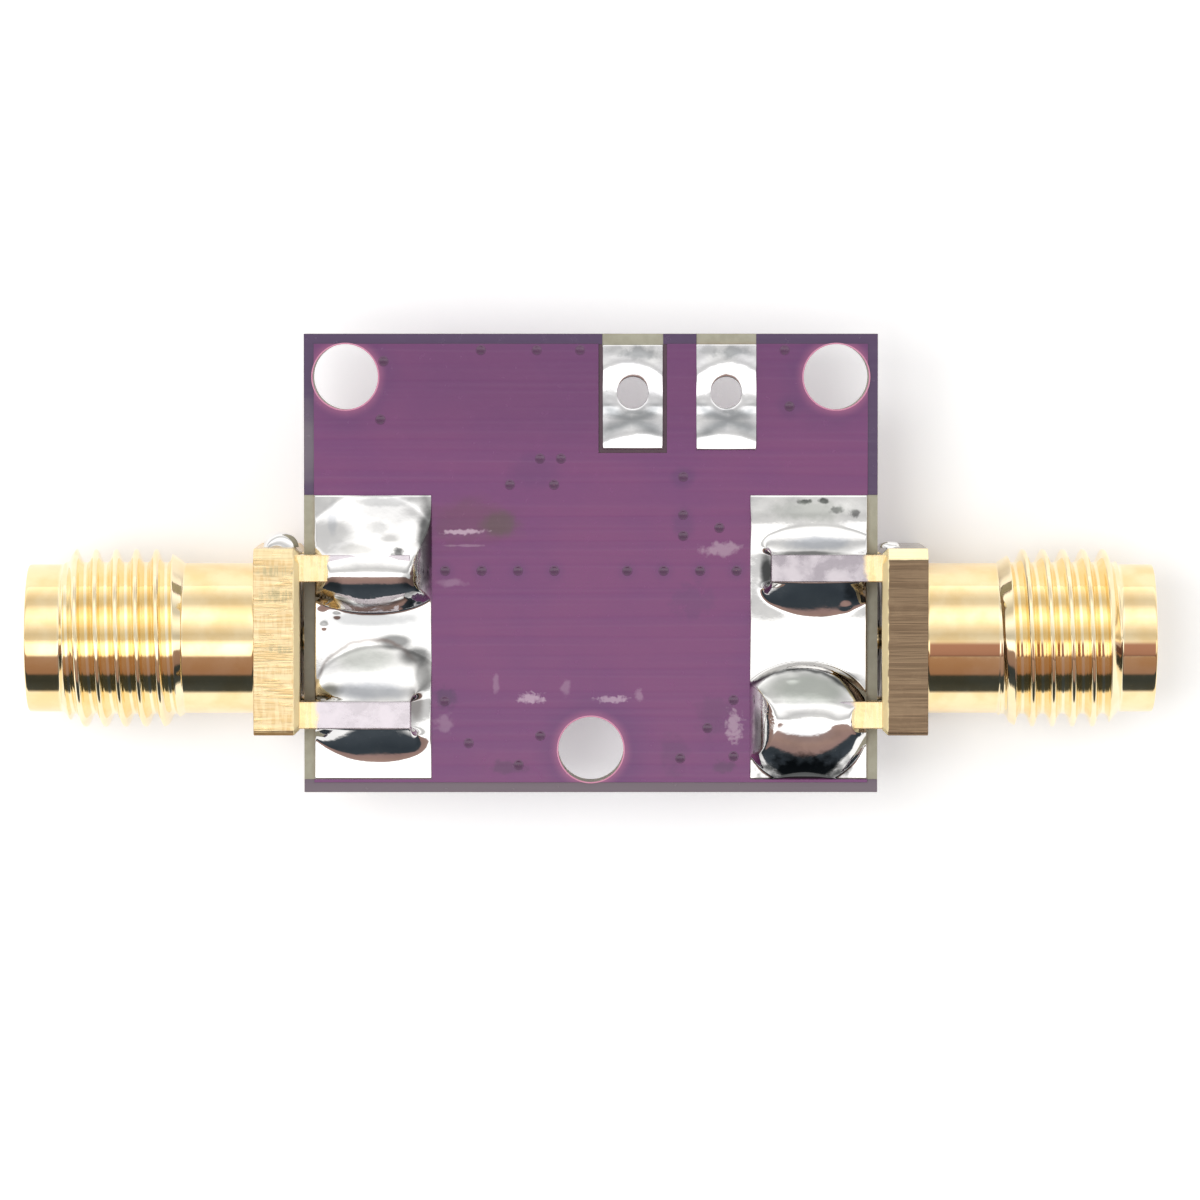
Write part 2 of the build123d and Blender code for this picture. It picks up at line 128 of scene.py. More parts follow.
def turned(name, stations, radii, place, segments):
    # stations and radii are arrays, one row per ring; radii may change round the ring
    angles = np.arange(segments) * 2 * math.pi / segments
    radii = np.broadcast_to(np.asarray(radii, float).reshape(len(stations), -1), (len(stations), segments))
    along = np.repeat(np.asarray(stations, float), segments)
    ring = radii.ravel()
    turn = np.tile(angles, len(stations))
    points = np.stack([along, ring * np.cos(turn), ring * np.sin(turn)], axis=1)
    return buildMesh(name, [place(*p) for p in points], gridFaces(len(stations), segments, wrap=True))


def onJack(side):
    # the jack's own frame: x outward from the board's edge, y and z from its axis; turned round on the left
    return lambda x, y, z: (side * (jack["back"] + x), jack["axisY"] + side * y, jack["axisZ"] + z)


def blockPoints(x0, x1, y0, y1, z0, z1):
    points = [(x, y, z) for x in (x0, x1) for y in (y0, y1) for z in (z0, z1)]
    faces = [(0, 1, 3, 2), (4, 6, 7, 5), (0, 4, 5, 1), (2, 3, 7, 6), (0, 2, 6, 4), (1, 5, 7, 3)]
    return points, faces


def sheetFrom(name, loops, low, high, edge):
    # a thin flat sheet: the first loop of each shape is its outline and the others are holes
    curve = bpy.data.curves.new(name, "CURVE")
    curve.dimensions = "2D"
    curve.fill_mode = "BOTH"
    curve.extrude = max((high - low) / 2 - edge, 0.001) * mm
    curve.bevel_depth = edge * mm
    curve.bevel_resolution = 1
    for loop in loops:
        spline = curve.splines.new("POLY")
        spline.points.add(len(loop) - 1)
        for point, (x, y) in zip(spline.points, loop):
            point.co = (x * mm, y * mm, 0, 1)
        spline.use_cyclic_u = True
    holder = addObject(name + "Outline", curve)
    bpy.context.view_layer.update()
    mesh = bpy.data.meshes.new_from_object(holder.evaluated_get(bpy.context.evaluated_depsgraph_get()))
    bpy.data.objects.remove(holder)
    mesh.name = name
    mesh.transform(Matrix.Translation((0, 0, (low + high) / 2 * mm)))
    return addObject(name, mesh)


def circle(x, y, radius, count=64, start=0.0, end=360.0):
    full = abs(end - start) >= 360
    steps = count if full else count + 1
    return [(x + radius * math.cos(math.radians(start + (end - start) * k / count)),
             y + radius * math.sin(math.radians(start + (end - start) * k / count))) for k in range(steps)]


def softMax(a, b, width):
    return 0.5 * (a + b + np.sqrt((a - b) ** 2 + width * width))


def softMin(a, b, width):
    return 0.5 * (a + b - np.sqrt((a - b) ** 2 + width * width))


# node helpers
class Wiring:
    def __init__(self, tree):
        self.tree = tree
        self.nodes = tree.nodes
        self.links = tree.links

    def put(self, socket, value):
        if isinstance(value, bpy.types.NodeSocket):
            self.links.new(value, socket)
        else:
            socket.default_value = value

    def add(self, kind, settings=None, **inputs):
        # inputs go by name, or by place as i0, i1 and so on
        node = self.nodes.new(kind)
        for name, value in (settings or {}).items():
            setattr(node, name, value)
        for key, value in inputs.items():
            byPlace = key[0] == "i" and key[1:].isdigit()
            self.put(node.inputs[int(key[1:]) if byPlace else key], value)
        return node.outputs

    def math(self, operation, *values):
        inputs = {f"i{k}": value for k, value in enumerate(values)}
        return self.add("ShaderNodeMath", {"operation": operation}, **inputs)[0]

    def vector(self, operation, *values):
        inputs = {f"i{k}": value for k, value in enumerate(values)}
        outputs = self.add("ShaderNodeVectorMath", {"operation": operation}, **inputs)
        return outputs["Value"] if operation in ("LENGTH", "DOT_PRODUCT") else outputs[0]

    def scaled(self, vector, factor):
        return self.add("ShaderNodeVectorMath", {"operation": "SCALE"}, i0=vector, i3=factor)[0]

    def split(self, vector):
        return self.add("ShaderNodeSeparateXYZ", i0=vector)

    def noise(self, vector, scale, detail):
        return self.add("ShaderNodeTexNoise", Vector=vector, Scale=scale, Detail=detail)["Fac"]

    def ramp(self, value, low, high, first=0.0, last=1.0, kind="SMOOTHSTEP"):
        return self.add("ShaderNodeMapRange", {"interpolation_type": kind}, Value=value,
                        i1=low, i2=high, i3=first, i4=last)[0]

    def mixColours(self, mask, first, second):
        return self.add("ShaderNodeMix", {"data_type": "RGBA"}, i0=mask, i6=first, i7=second)[2]

    def mixValues(self, mask, first, second):
        return self.add("ShaderNodeMix", i0=mask, i2=first, i3=second)[0]


class Look(Wiring):
    def __init__(self, name):
        self.material = bpy.data.materials.new(name)
        self.material.use_nodes = True
        super().__init__(self.material.node_tree)
        self.shader = self.nodes["Principled BSDF"]
        self.surface = self.add("ShaderNodeTexCoord")

    def set(self, **values):
        for name, value in values.items():
            self.shader.inputs[name.replace("_", " ")].default_value = value
        return self

    def use(self, group, **values):
        # place a shared effect, with its own values
        node = self.nodes.new("ShaderNodeGroup")
        node.node_tree = group
        if "Vector" in node.inputs:
            self.links.new(self.surface["Object"], node.inputs["Vector"])
        for name, value in values.items():
            self.put(node.inputs[name], value)
        return node.outputs[0]

    def mark(self, tone, mask, strength, colour):
        return self.mixColours(self.math("MULTIPLY", mask, strength), tone, colour)

    def feed(self, name, socket):
        self.links.new(socket, self.shader.inputs[name])
        return self

    def bump(self, height, distance):
        bumped = self.add("ShaderNodeBump", Height=height, Distance=distance * mm, Strength=1.0)
        return self.feed("Normal", bumped["Normal"])


class Group(Wiring):
    def __init__(self, name, inputs, result):
        super().__init__(bpy.data.node_groups.new(name, "ShaderNodeTree"))
        for label, value in inputs.items():
            kind = "NodeSocketFloat" if isinstance(value, float) else "NodeSocketVector"
            socket = self.tree.interface.new_socket(name=label, in_out="INPUT", socket_type=kind)
            if value is not None:
                socket.default_value = value
        self.tree.interface.new_socket(name=result, in_out="OUTPUT", socket_type="NodeSocketFloat")
        self.given = self.nodes.new("NodeGroupInput").outputs
        self.result = self.nodes.new("NodeGroupOutput").inputs
        if "Vector" in inputs:
            self.place = self.scaled(self.given["Vector"], 1 / mm)  # in millimetres

    def fromCentre(self):
        return self.vector("SUBTRACT", self.place, self.given["Centre"])

    def raggedness(self, detail):
        centred = self.math("SUBTRACT", self.noise(self.place, self.given["Grain"], detail), 0.5)
        return self.math("MULTIPLY", centred, self.given["Ragged"])

    def finish(self, value):
        self.links.new(value, self.result[0])
        return self.tree


origin, unitSize = (0, 0, 0), (1, 1, 1)


def makeScaledNoise():
    # uneven texture with its own scale along each axis, in cycles per millimetre
    group = Group("scaledNoise", {"Vector": None, "Cycles": unitSize, "Detail": 3.0, "Low": 0.35,
                                  "High": 0.65}, "Value")
    scaled = group.vector("MULTIPLY", group.place, group.given["Cycles"])
    noise = group.noise(scaled, 1.0, group.given["Detail"])
    return group.finish(group.ramp(noise, group.given["Low"], group.given["High"]))


def makeBoxMask():
    # 1 inside a box given in millimetres, with a soft and slightly ragged edge
    group = Group("boxMask", {"Vector": None, "Centre": origin, "Half": unitSize, "Softness": 0.05,
                              "Ragged": 0.0, "Grain": 2.0}, "Mask")
    size = group.vector("ABSOLUTE", group.fromCentre())
    over = group.split(group.vector("SUBTRACT", size, group.given["Half"]))
    most = group.math("MAXIMUM", group.math("MAXIMUM", over[0], over[1]), over[2])
    uneven = group.math("ADD", most, group.raggedness(3.0))
    return group.finish(group.ramp(uneven, 0.0, group.given["Softness"], 1.0, 0.0))


def makeSpotMask():
    # 1 inside an ellipsoid given in millimetres, fading out towards its edge
    group = Group("spotMask", {"Vector": None, "Centre": origin, "Radii": unitSize, "Ragged": 0.4,
                               "Grain": 2.0}, "Mask")
    far = group.vector("LENGTH", group.vector("DIVIDE", group.fromCentre(), group.given["Radii"]))
    uneven = group.math("ADD", far, group.raggedness(4.0))
    return group.finish(group.ramp(uneven, 0.35, 1.0, 1.0, 0.0))


def makeArcMask():
    # 1 along a part of an ellipse given in millimetres, strongest on the side that Side points to
    group = Group("arcMask", {"Vector": None, "Centre": origin, "Radii": unitSize, "Width": 0.1,
                              "Side": (0, 1, 0)}, "Mask")
    share = group.vector("DIVIDE", group.fromCentre(), group.given["Radii"])
    wander = group.noise(group.place, 1.3, 3.0)
    loose = group.math("MULTIPLY_ADD", wander, 0.12, group.vector("LENGTH", share))
    off = group.math("ABSOLUTE", group.math("SUBTRACT", loose, 1.06))
    ring = group.ramp(off, 0.0, group.given["Width"], 1.0, 0.0)
    facing = group.vector("DOT_PRODUCT", group.vector("NORMALIZE", share), group.given["Side"])
    return group.finish(group.math("MULTIPLY", ring, group.ramp(facing, 0.2, 0.75)))


def makeFenceHalo():
    # soft spots in one row across the board, one round each via of the fence and none in its middle
    group = Group("fenceHalo", {"Vector": None, "Level": 0.0, "Step": 1.27, "Radius": 0.5}, "Mask")
    parts = group.split(group.place)
    near = group.math("PINGPONG", parts[0], group.math("MULTIPLY", group.given["Step"], 0.5))
    above = group.math("SUBTRACT", parts[1], group.given["Level"])
    far = group.vector("LENGTH", group.add("ShaderNodeCombineXYZ", i0=near, i1=above)[0])
    spot = group.ramp(far, 0.0, group.given["Radius"], 1.0, 0.0)
    return group.finish(group.math("MULTIPLY", spot, group.ramp(group.math("ABSOLUTE", parts[0]), 0.6, 0.8)))


def makeTurnedLines():
    # fine tool lines round a turned surface, across the axis of the jack
    group = Group("turnedLines", {"Vector": None, "Lines": 9.0, "Chatter": 0.6}, "Height")
    along = group.add("ShaderNodeCombineXYZ", i0=group.split(group.place)[0])[0]
    fine = group.noise(group.scaled(along, group.given["Lines"]), 1.0, 2.0)
    chatter = group.math("MULTIPLY", group.noise(group.place, 1.5, 2.0), group.given["Chatter"])
    return group.finish(group.math("ADD", fine, chatter))


def makeTiltMask():
    # 1 where a turned surface leans away from the wire pads by a few degrees, but not on a thread's flanks;
    # it places the painted brown reflection on the right barrel
    group = Group("tiltMask", {"Normal": None, "Start": -12.6, "Full": -10.8, "Fading": -3.0, "End": 2.0},
                  "Mask")
    parts = group.split(group.given["Normal"])
    lean = group.math("DEGREES", group.math("ARCTAN2", parts[1], parts[2]))
    rise = group.ramp(lean, group.given["Start"], group.given["Full"])
    fall = group.ramp(lean, group.given["Fading"], group.given["End"], 1.0, 0.0)
    offFlanks = group.ramp(group.math("ABSOLUTE", parts[0]), 0.15, 0.35, 1.0, 0.0)
    return group.finish(group.math("MULTIPLY", group.math("MULTIPLY", rise, fall), offFlanks))


def makeCrossMask():
    # 1 along two lines that cross in a low X, as where dipped tin drew back from both sides
    group = Group("crossMask", {"Vector": None, "Centre": origin, "Slope": 0.4, "Width": 0.2, "Reach": 1.1},
                  "Mask")
    wander = group.math("SUBTRACT", group.noise(group.place, 1.6, 3.0), 0.5)
    parts = group.split(group.vector("ABSOLUTE", group.fromCentre()))
    off = group.math("SUBTRACT", parts[1], group.math("MULTIPLY", parts[0], group.given["Slope"]))
    loose = group.math("ABSOLUTE", group.math("MULTIPLY_ADD", wander, 0.25, off))
    line = group.ramp(loose, 0.0, group.given["Width"], 1.0, 0.0)
    kept = group.ramp(parts[0], group.given["Reach"], 0.7, 0.55, 1.0)
    return group.finish(group.math("MULTIPLY", line, kept))


def plainLook(name, cycles, detail, first, second, roughness, height=0.0, settings=None):
    # one uneven texture moves the colour and the roughness, and raises the surface where a height is given
    look = Look(name).set(**(settings or {}))
    speckle = look.use(scaledNoise, Cycles=(cycles, cycles, cycles), Detail=detail)
    look.feed("Base Color", look.mixColours(speckle, first, second))
    look.feed("Roughness", look.mixValues(speckle, *roughness))
    if height:
        look.bump(speckle, height)
    return look.material


scaledNoise = makeScaledNoise()
boxMask = makeBoxMask()
spotMask = makeSpotMask()
arcMask = makeArcMask()
fenceHalo = makeFenceHalo()
turnedLines = makeTurnedLines()
tiltMask = makeTiltMask()
crossMask = makeCrossMask()
print("stage: shared effects made")

# gold plate of the jacks
gold = {
    "colour": (0.98, 0.78, 0.46, 1), "deep": (0.93, 0.68, 0.34, 1), "barrelRoughness": (0.04, 0.09),
    "lineHeight": 0.0012, "thread": (0.98, 0.84, 0.57, 1), "threadDeep": (0.94, 0.77, 0.47, 1),
    # the brown below is a painted reflection, laid on the right barrel
    "paintedBrownReflection": (0.22, 0.10, 0.055, 1),
}


def goldBarrelLook():
    look = Look("goldBarrel").set(Metallic=1.0)
    mottle = look.use(scaledNoise, Cycles=(0.8, 0.8, 0.8), Detail=4.0)
    tone = look.mixColours(mottle, gold["colour"], gold["deep"])
    threadTone = look.mixColours(mottle, gold["thread"], gold["threadDeep"])
    middle = jack["back"] + (jack["neckEnd"] + jack["threadEnd"]) / 2
    half = (jack["threadEnd"] - jack["neckEnd"]) / 2
    for side in (-1, 1):
        # flanks mirror each other, so their gold is paler to come out alike
        thread = look.use(boxMask, Centre=(side * middle, jack["axisY"], jack["axisZ"]),
                          Half=(half, 4.0, 4.0), Softness=0.1)
        tone = look.mixColours(thread, tone, threadTone)
    # painted reflection: the right jack's barrel is painted a second brown band, above the dark one, where it
    # leans a few degrees away from the wire pads
    onRight = look.use(boxMask, Centre=(15.0, jack["axisY"], jack["axisZ"]), Half=(5.5, 4.0, 4.0),
                       Softness=0.1)
    lean = look.use(tiltMask, Normal=look.surface["Normal"])
    tone = look.mark(tone, onRight, lean, gold["paintedBrownReflection"])
    look.feed("Base Color", tone)
    grime = look.use(scaledNoise, Cycles=(6.0, 2.0, 2.0), Detail=3.0)
    look.feed("Roughness", look.mixValues(grime, *gold["barrelRoughness"]))
    look.bump(look.use(turnedLines, Lines=14.0, Chatter=0.5), gold["lineHeight"])
    return look.material


def goldFlangeLook(name, spec):
    # sawn and milled faces: lines along the jack's axis, crossed by fainter ones, with painted highlights on
    # the bevels and painted shade along the lower edge
    look = Look(name).set(Metallic=1.0)
    lines = look.use(scaledNoise, Cycles=spec["lines"], Detail=2.0, Low=0.35, High=0.65)
    crossed = look.use(scaledNoise, Cycles=spec["crossed"], Detail=1.0, Low=0.4, High=0.6)
    patches = look.use(scaledNoise, Cycles=(0.8, 1.1, 1.1), Detail=2.0, Low=0.4, High=0.6)
    weave = look.math("MULTIPLY", look.math("MULTIPLY", crossed, patches), spec["crossShare"])
    total = look.math("ADD", lines, weave)
    tone = look.mixColours(look.math("MULTIPLY", total, 0.7), spec["dark"], spec["light"])
    for (x, y), (rx, ry) in spec["stains"]:
        stain = look.use(spotMask, Centre=(x, y, flangeTop), Radii=(rx, ry, 0.3), Ragged=0.6, Grain=2.0)
        dashes = look.math("ADD", look.math("MULTIPLY", crossed, 0.6), 0.25)
        tone = look.mark(tone, stain, dashes, spec["stain"])
    # painted shade: a dark brown strip along the flange's lower edge
    foot = look.use(boxMask, Centre=(spec["bevelX"], jack["axisY"] - 3.2, 6.4), Half=(1.6, 0.055, 0.3),
                    Softness=0.05, Ragged=0.05, Grain=2.5)
    tone = look.mark(tone, foot, spec["footShade"], spec["paintedFootShade"])
    # painted highlight along the flange's upper edge
    upperEdgeHighlight = look.use(boxMask, Centre=(spec["bevelX"], jack["axisY"] + 3.08, 6.4), Half=(1.8, 0.19, 0.4),
                    Softness=0.05, Ragged=0.05, Grain=2.5)
    tone = look.mark(tone, upperEdgeHighlight, spec["upperEdgeHighlightStrength"], spec["paintedBevelHighlight"])
    # painted highlight on the back bevel by the board, where the lines and bump stop and the surface turns
    # rougher
    paintedBevelHighlight = look.use(boxMask, Centre=(spec["bevelX"], jack["axisY"], flangeTop), Half=(0.11, 5.0, 0.35),
                    Softness=0.04, Ragged=0.12, Grain=2.5)
    look.feed("Base Color", look.mixColours(paintedBevelHighlight, tone, spec["paintedBevelHighlight"]))
    look.feed("Roughness", look.mixValues(paintedBevelHighlight, look.mixValues(patches, *spec["roughness"]), 0.5))
    look.bump(look.math("MULTIPLY", total, look.math("SUBTRACT", 1.0, paintedBevelHighlight)), spec["height"])
    return look.material


# tin on the legs, seen from above: the middle and half length of its box on every leg and on the barer leg
legTin = {
    "every": (7.3, 1.7), "bare": (7.5, 1.95), "level": 4.5, "height": 0.004,
    # grey tin tones with a painted pinkish reflection, darker on the right legs
    "tonesWithReflection": {-1: ((0.58, 0.53, 0.56, 1), (0.74, 0.68, 0.72, 1)),
              1: ((0.40, 0.36, 0.39, 1), (0.62, 0.57, 0.60, 1))},
}


def goldLegLook(side):
    # bare gold by the flange, and solder wetted over the rest
    look = Look("goldLeg" + sideWords[side].capitalize()).set(Metallic=1.0)
    masks = []
    for word, away, across in (("every", 0.0, 6.0), ("bare", side * jack["legOffset"], 1.0)):
        middle, half = legTin[word]
        masks.append(look.use(boxMask, Centre=(side * middle, jack["axisY"] + away, legTin["level"]),
                              Half=(half, across, 3.0), Softness=0.2, Ragged=0.4, Grain=2.5))
    tinned = look.math("MAXIMUM", *masks)
    stripes = look.use(scaledNoise, Cycles=(6.5, 0.6, 0.6), Detail=2.0)
    goldTone = look.mixColours(stripes, gold["deep"], gold["colour"])
    patches = look.use(scaledNoise, Cycles=(1.4, 1.4, 1.4), Detail=3.0)
    tinTone = look.mixColours(patches, *legTin["tonesWithReflection"][side])
    look.feed("Base Color", look.mixColours(tinned, goldTone, tinTone))
    goldRoughness, tinRoughness = look.mixValues(stripes, 0.16, 0.3), look.mixValues(patches, 0.2, 0.38)
    look.feed("Roughness", look.mixValues(tinned, goldRoughness, tinRoughness))
    goldLines = look.math("MULTIPLY", stripes, look.math("SUBTRACT", 1.0, tinned))
    unevenness = look.math("ADD", look.math("MULTIPLY", goldLines, 0.8), look.math("MULTIPLY", patches, 0.5))
    look.bump(unevenness, legTin["height"])
    return look.material


def threadRadius(station, angle, side):
    # crest and root of the thread, cut back by a taper at each end
    turn = angle / (2 * math.pi)
    phase = (station - jack["crestPhase"][side]) / jack["pitch"] - turn
    away = np.abs(phase - np.round(phase)) * 2  # 0 on a crest, 1 in a root
    rise = np.clip((0.86 - away) / 0.76, 0, 1)
    rise = rise - 0.07 * np.sin(rise * 2 * math.pi)
    return jack["rootRadius"] + (jack["crestRadius"] - jack["rootRadius"]) * rise


def makeBarrel(side, material):
    segments = 144
    angles = np.arange(segments) * 2 * math.pi / segments
    start, end = jack["neckEnd"], jack["threadEnd"]
    stations, radii = [], []

    def ring(x, r):
        stations.append(x)
        radii.append(np.full(segments, r))

    for x, out in ((-0.1, 0.06), (0.01, 0.05), (0.05, 0.01), (0.1, 0.0), (0.13, 0.0)):
        ring(jack["flangeThick"] + x, jack["neckRadius"] + out)  # small fillet by the flange
    for before in (0.05, 0.02):
        ring(start - before, jack["neckRadius"])
    for x in np.arange(start, end + 0.001, jack["threadStep"]):
        ramp = min((x - start) / jack["rearTaper"], 1.0)
        front = min((end - x) / jack["frontTaper"], 1.0)
        rearLimit = jack["neckRadius"] + 0.04 + (jack["crestRadius"] - jack["neckRadius"]) * ramp
        frontLimit = jack["pilotRadius"] + (jack["crestRadius"] - jack["pilotRadius"]) * front
        stations.append(x)
        thread = threadRadius(x, angles, side)
        radii.append(softMin(thread, np.full(segments, min(rearLimit, frontLimit)), 0.03))
    tip, rim = jack["length"], jack["rimRounding"]
    ring(end + 0.02, jack["pilotRadius"])
    ring(end + 0.05, jack["pilotRadius"])
    ring(tip - rim * 2.2, jack["pilotRadius"])
    ring(tip - rim * 1.6, jack["pilotRadius"])
    for turn in (20, 45, 70, 90):
        a = math.radians(turn)
        ring(tip - rim + rim * math.sin(a), jack["pilotRadius"] - rim + rim * math.cos(a))
    for back, out in ((0.0, 0.09), (0.01, 0.07), (0.08, 0.005), (0.1, 0.0)):
        ring(tip - back, jack["socketRadius"] + out)
    floorX = tip - jack["socketDepth"]
    ring(floorX + 0.03, jack["socketRadius"])
    ring(floorX, jack["socketRadius"] - 0.02)
    for back, out in ((0.0, 0.03), (0.03, 0.0), (1.0, 0.0)):
        ring(floorX - back, jack["dielectricRadius"] + out)
    piece = turned(sideWords[side] + "Barrel", stations, radii, onJack(side), segments)
    return finishPiece(piece, material, "gold", sideWords[side] + "_jack_body")


def flangeRing(inset, side):
    # the upper corners towards the wire pads are cut back the most
    half = jack["flangeSide"] / 2 - inset
    corners = []
    for sy, sz in ((1, 1), (-1, 1), (-1, -1), (1, -1)):
        cut = jack["cornerBevels"][side]["upper" if sy * side > 0 else "lower"]
        first, second = (sy * half, sz * (half - cut)), (sy * (half - cut), sz * half)
        corners += [first, second] if sy * sz > 0 else [second, first]
    return corners


def makeFlange(side, material):
    place = onJack(side)
    levels = [(0.0, jack["backBevel"]), (jack["backBevel"], 0.0), (jack["flangeThick"], 0.0)]
    points = [place(x, y, z) for x, inset in levels for y, z in flangeRing(inset, side)]
    faces = gridFaces(len(levels), 8, wrap=True) + [tuple(range(7, -1, -1)), tuple(range(16, 24))]
    block = buildMesh(sideWords[side] + "Flange", points, faces, smooth=False)
    piece = roundEdges(block, jack["flangeEdge"], 2)
    return finishPiece(piece, material, "gold", sideWords[side] + "_jack_body")


def makeLeg(side, end, back, material):
    name = sideWords[side] + endWords[end] + ("BackLeg" if back else "FrontLeg")
    y = end * jack["legOffset"]
    if back:
        low, high = backFoil + jack["legGap"] - jack["axisZ"], jack["legTop"]
    else:
        high = frontFoil - jack["legGap"] - jack["axisZ"]
        low = high - jack["legFrontThick"]
    half = jack["legWidth"] / 2
    points, faces = blockPoints(jack["legTip"], jack["legRoot"], y - half, y + half, low, high)
    place = onJack(side)
    points = [place(x, side * yy, z) for x, yy, z in points]
    piece = roundEdges(buildMesh(name, points, faces, smooth=False), jack["legEdge"], 3)
    return finishPiece(piece, material, "gold")


barrelLook = goldBarrelLook()
flangeLooks = {
    -1: goldFlangeLook("goldFlangeLeft", {
        "lines": (0.7, 11.0, 11.0), "crossed": (9.0, 1.6, 1.6), "crossShare": 0.7, "height": 0.005,
        "roughness": (0.22, 0.34), "dark": (0.72, 0.51, 0.25, 1), "light": (0.87, 0.70, 0.42, 1),
        "stains": [((-10.9, -0.25), (0.95, 0.28)), ((-10.9, -1.1), (1.0, 0.36)),
                   ((-10.8, -2.95), (0.7, 0.2))],
        "stain": (0.50, 0.42, 0.24, 1), "upperEdgeHighlightStrength": 0.4, "footShade": 0.9, "paintedFootShade": (0.34, 0.19, 0.07, 1),
        "bevelX": -10.2, "paintedBevelHighlight": (1.0, 0.86, 0.52, 1)}),
    1: goldFlangeLook("goldFlangeRight", {
        "lines": (0.35, 9.0, 9.0), "crossed": (3.0, 3.0, 3.0), "crossShare": 0.3, "height": 0.001,
        # the right flange's gold is painted dark in these two tones: painted shade for the dim reflection its
        # faces show
        "roughness": (0.12, 0.2), "dark": (0.18, 0.12, 0.074, 1), "light": (0.26, 0.18, 0.112, 1),
        "stains": [], "stain": (0.5, 0.4, 0.25, 1), "upperEdgeHighlightStrength": 0.95, "footShade": 0.0,
        "paintedFootShade": (0.3, 0.2, 0.1, 1), "bevelX": 10.2, "paintedBevelHighlight": (1.0, 0.86, 0.52, 1)}),
}
for side in (-1, 1):
    legLook = goldLegLook(side)
    makeBarrel(side, barrelLook)
    makeFlange(side, flangeLooks[side])
    for end in (-1, 1):
        for back in (True, False):
            makeLeg(side, end, back, legLook)
print("stage: jacks made")

# solder
solder = {"bright": (0.88, 0.865, 0.84, 1), "grey": (0.74, 0.73, 0.72, 1), "roughness": (0.03, 0.12),
          "stretch": 0.003, "markLevel": 5.6, "markDepth": 3.0, "arcDepth": 9.0}


def solderLook(name, reflectionSpots=(), reflectionArcs=()):
    # spots of painted reflection and painted shade: centre, radii, how ragged, grain, strength and tone
    # thin arcs of painted dark reflection along steep edges: centre, radii, width, the way they face,
    # strength and tone
    look = Look(name).set(Metallic=1.0)
    cloud = look.use(scaledNoise, Cycles=(0.7, 0.7, 0.7), Detail=4.0)
    tone = look.mixColours(cloud, solder["bright"], solder["grey"])
    level, depth, arcDepth = solder["markLevel"], solder["markDepth"], solder["arcDepth"]
    for (x, y), (rx, ry), ragged, grain, strength, word in reflectionSpots:
        spot = look.use(spotMask, Centre=(x, y, level), Radii=(rx, ry, depth), Ragged=ragged, Grain=grain)
        tone = look.mark(tone, spot, strength, paintedReflectionTones[word])
    for (x, y), (rx, ry), width, towards, strength, word in reflectionArcs:
        ring = look.use(arcMask, Centre=(x, y, level), Radii=(rx, ry, arcDepth), Width=width,
                        Side=(*towards, 0.0))
        tone = look.mark(tone, ring, strength, paintedReflectionTones[word])
    look.feed("Base Color", tone)
    frost = look.use(scaledNoise, Cycles=(2.5, 2.5, 2.5), Detail=5.0, Low=0.5, High=0.72)
    look.feed("Roughness", look.mixValues(frost, *solder["roughness"]))
    look.bump(look.use(scaledNoise, Cycles=(1.1, 1.1, 1.1), Detail=4.0), solder["stretch"])
    return look.material
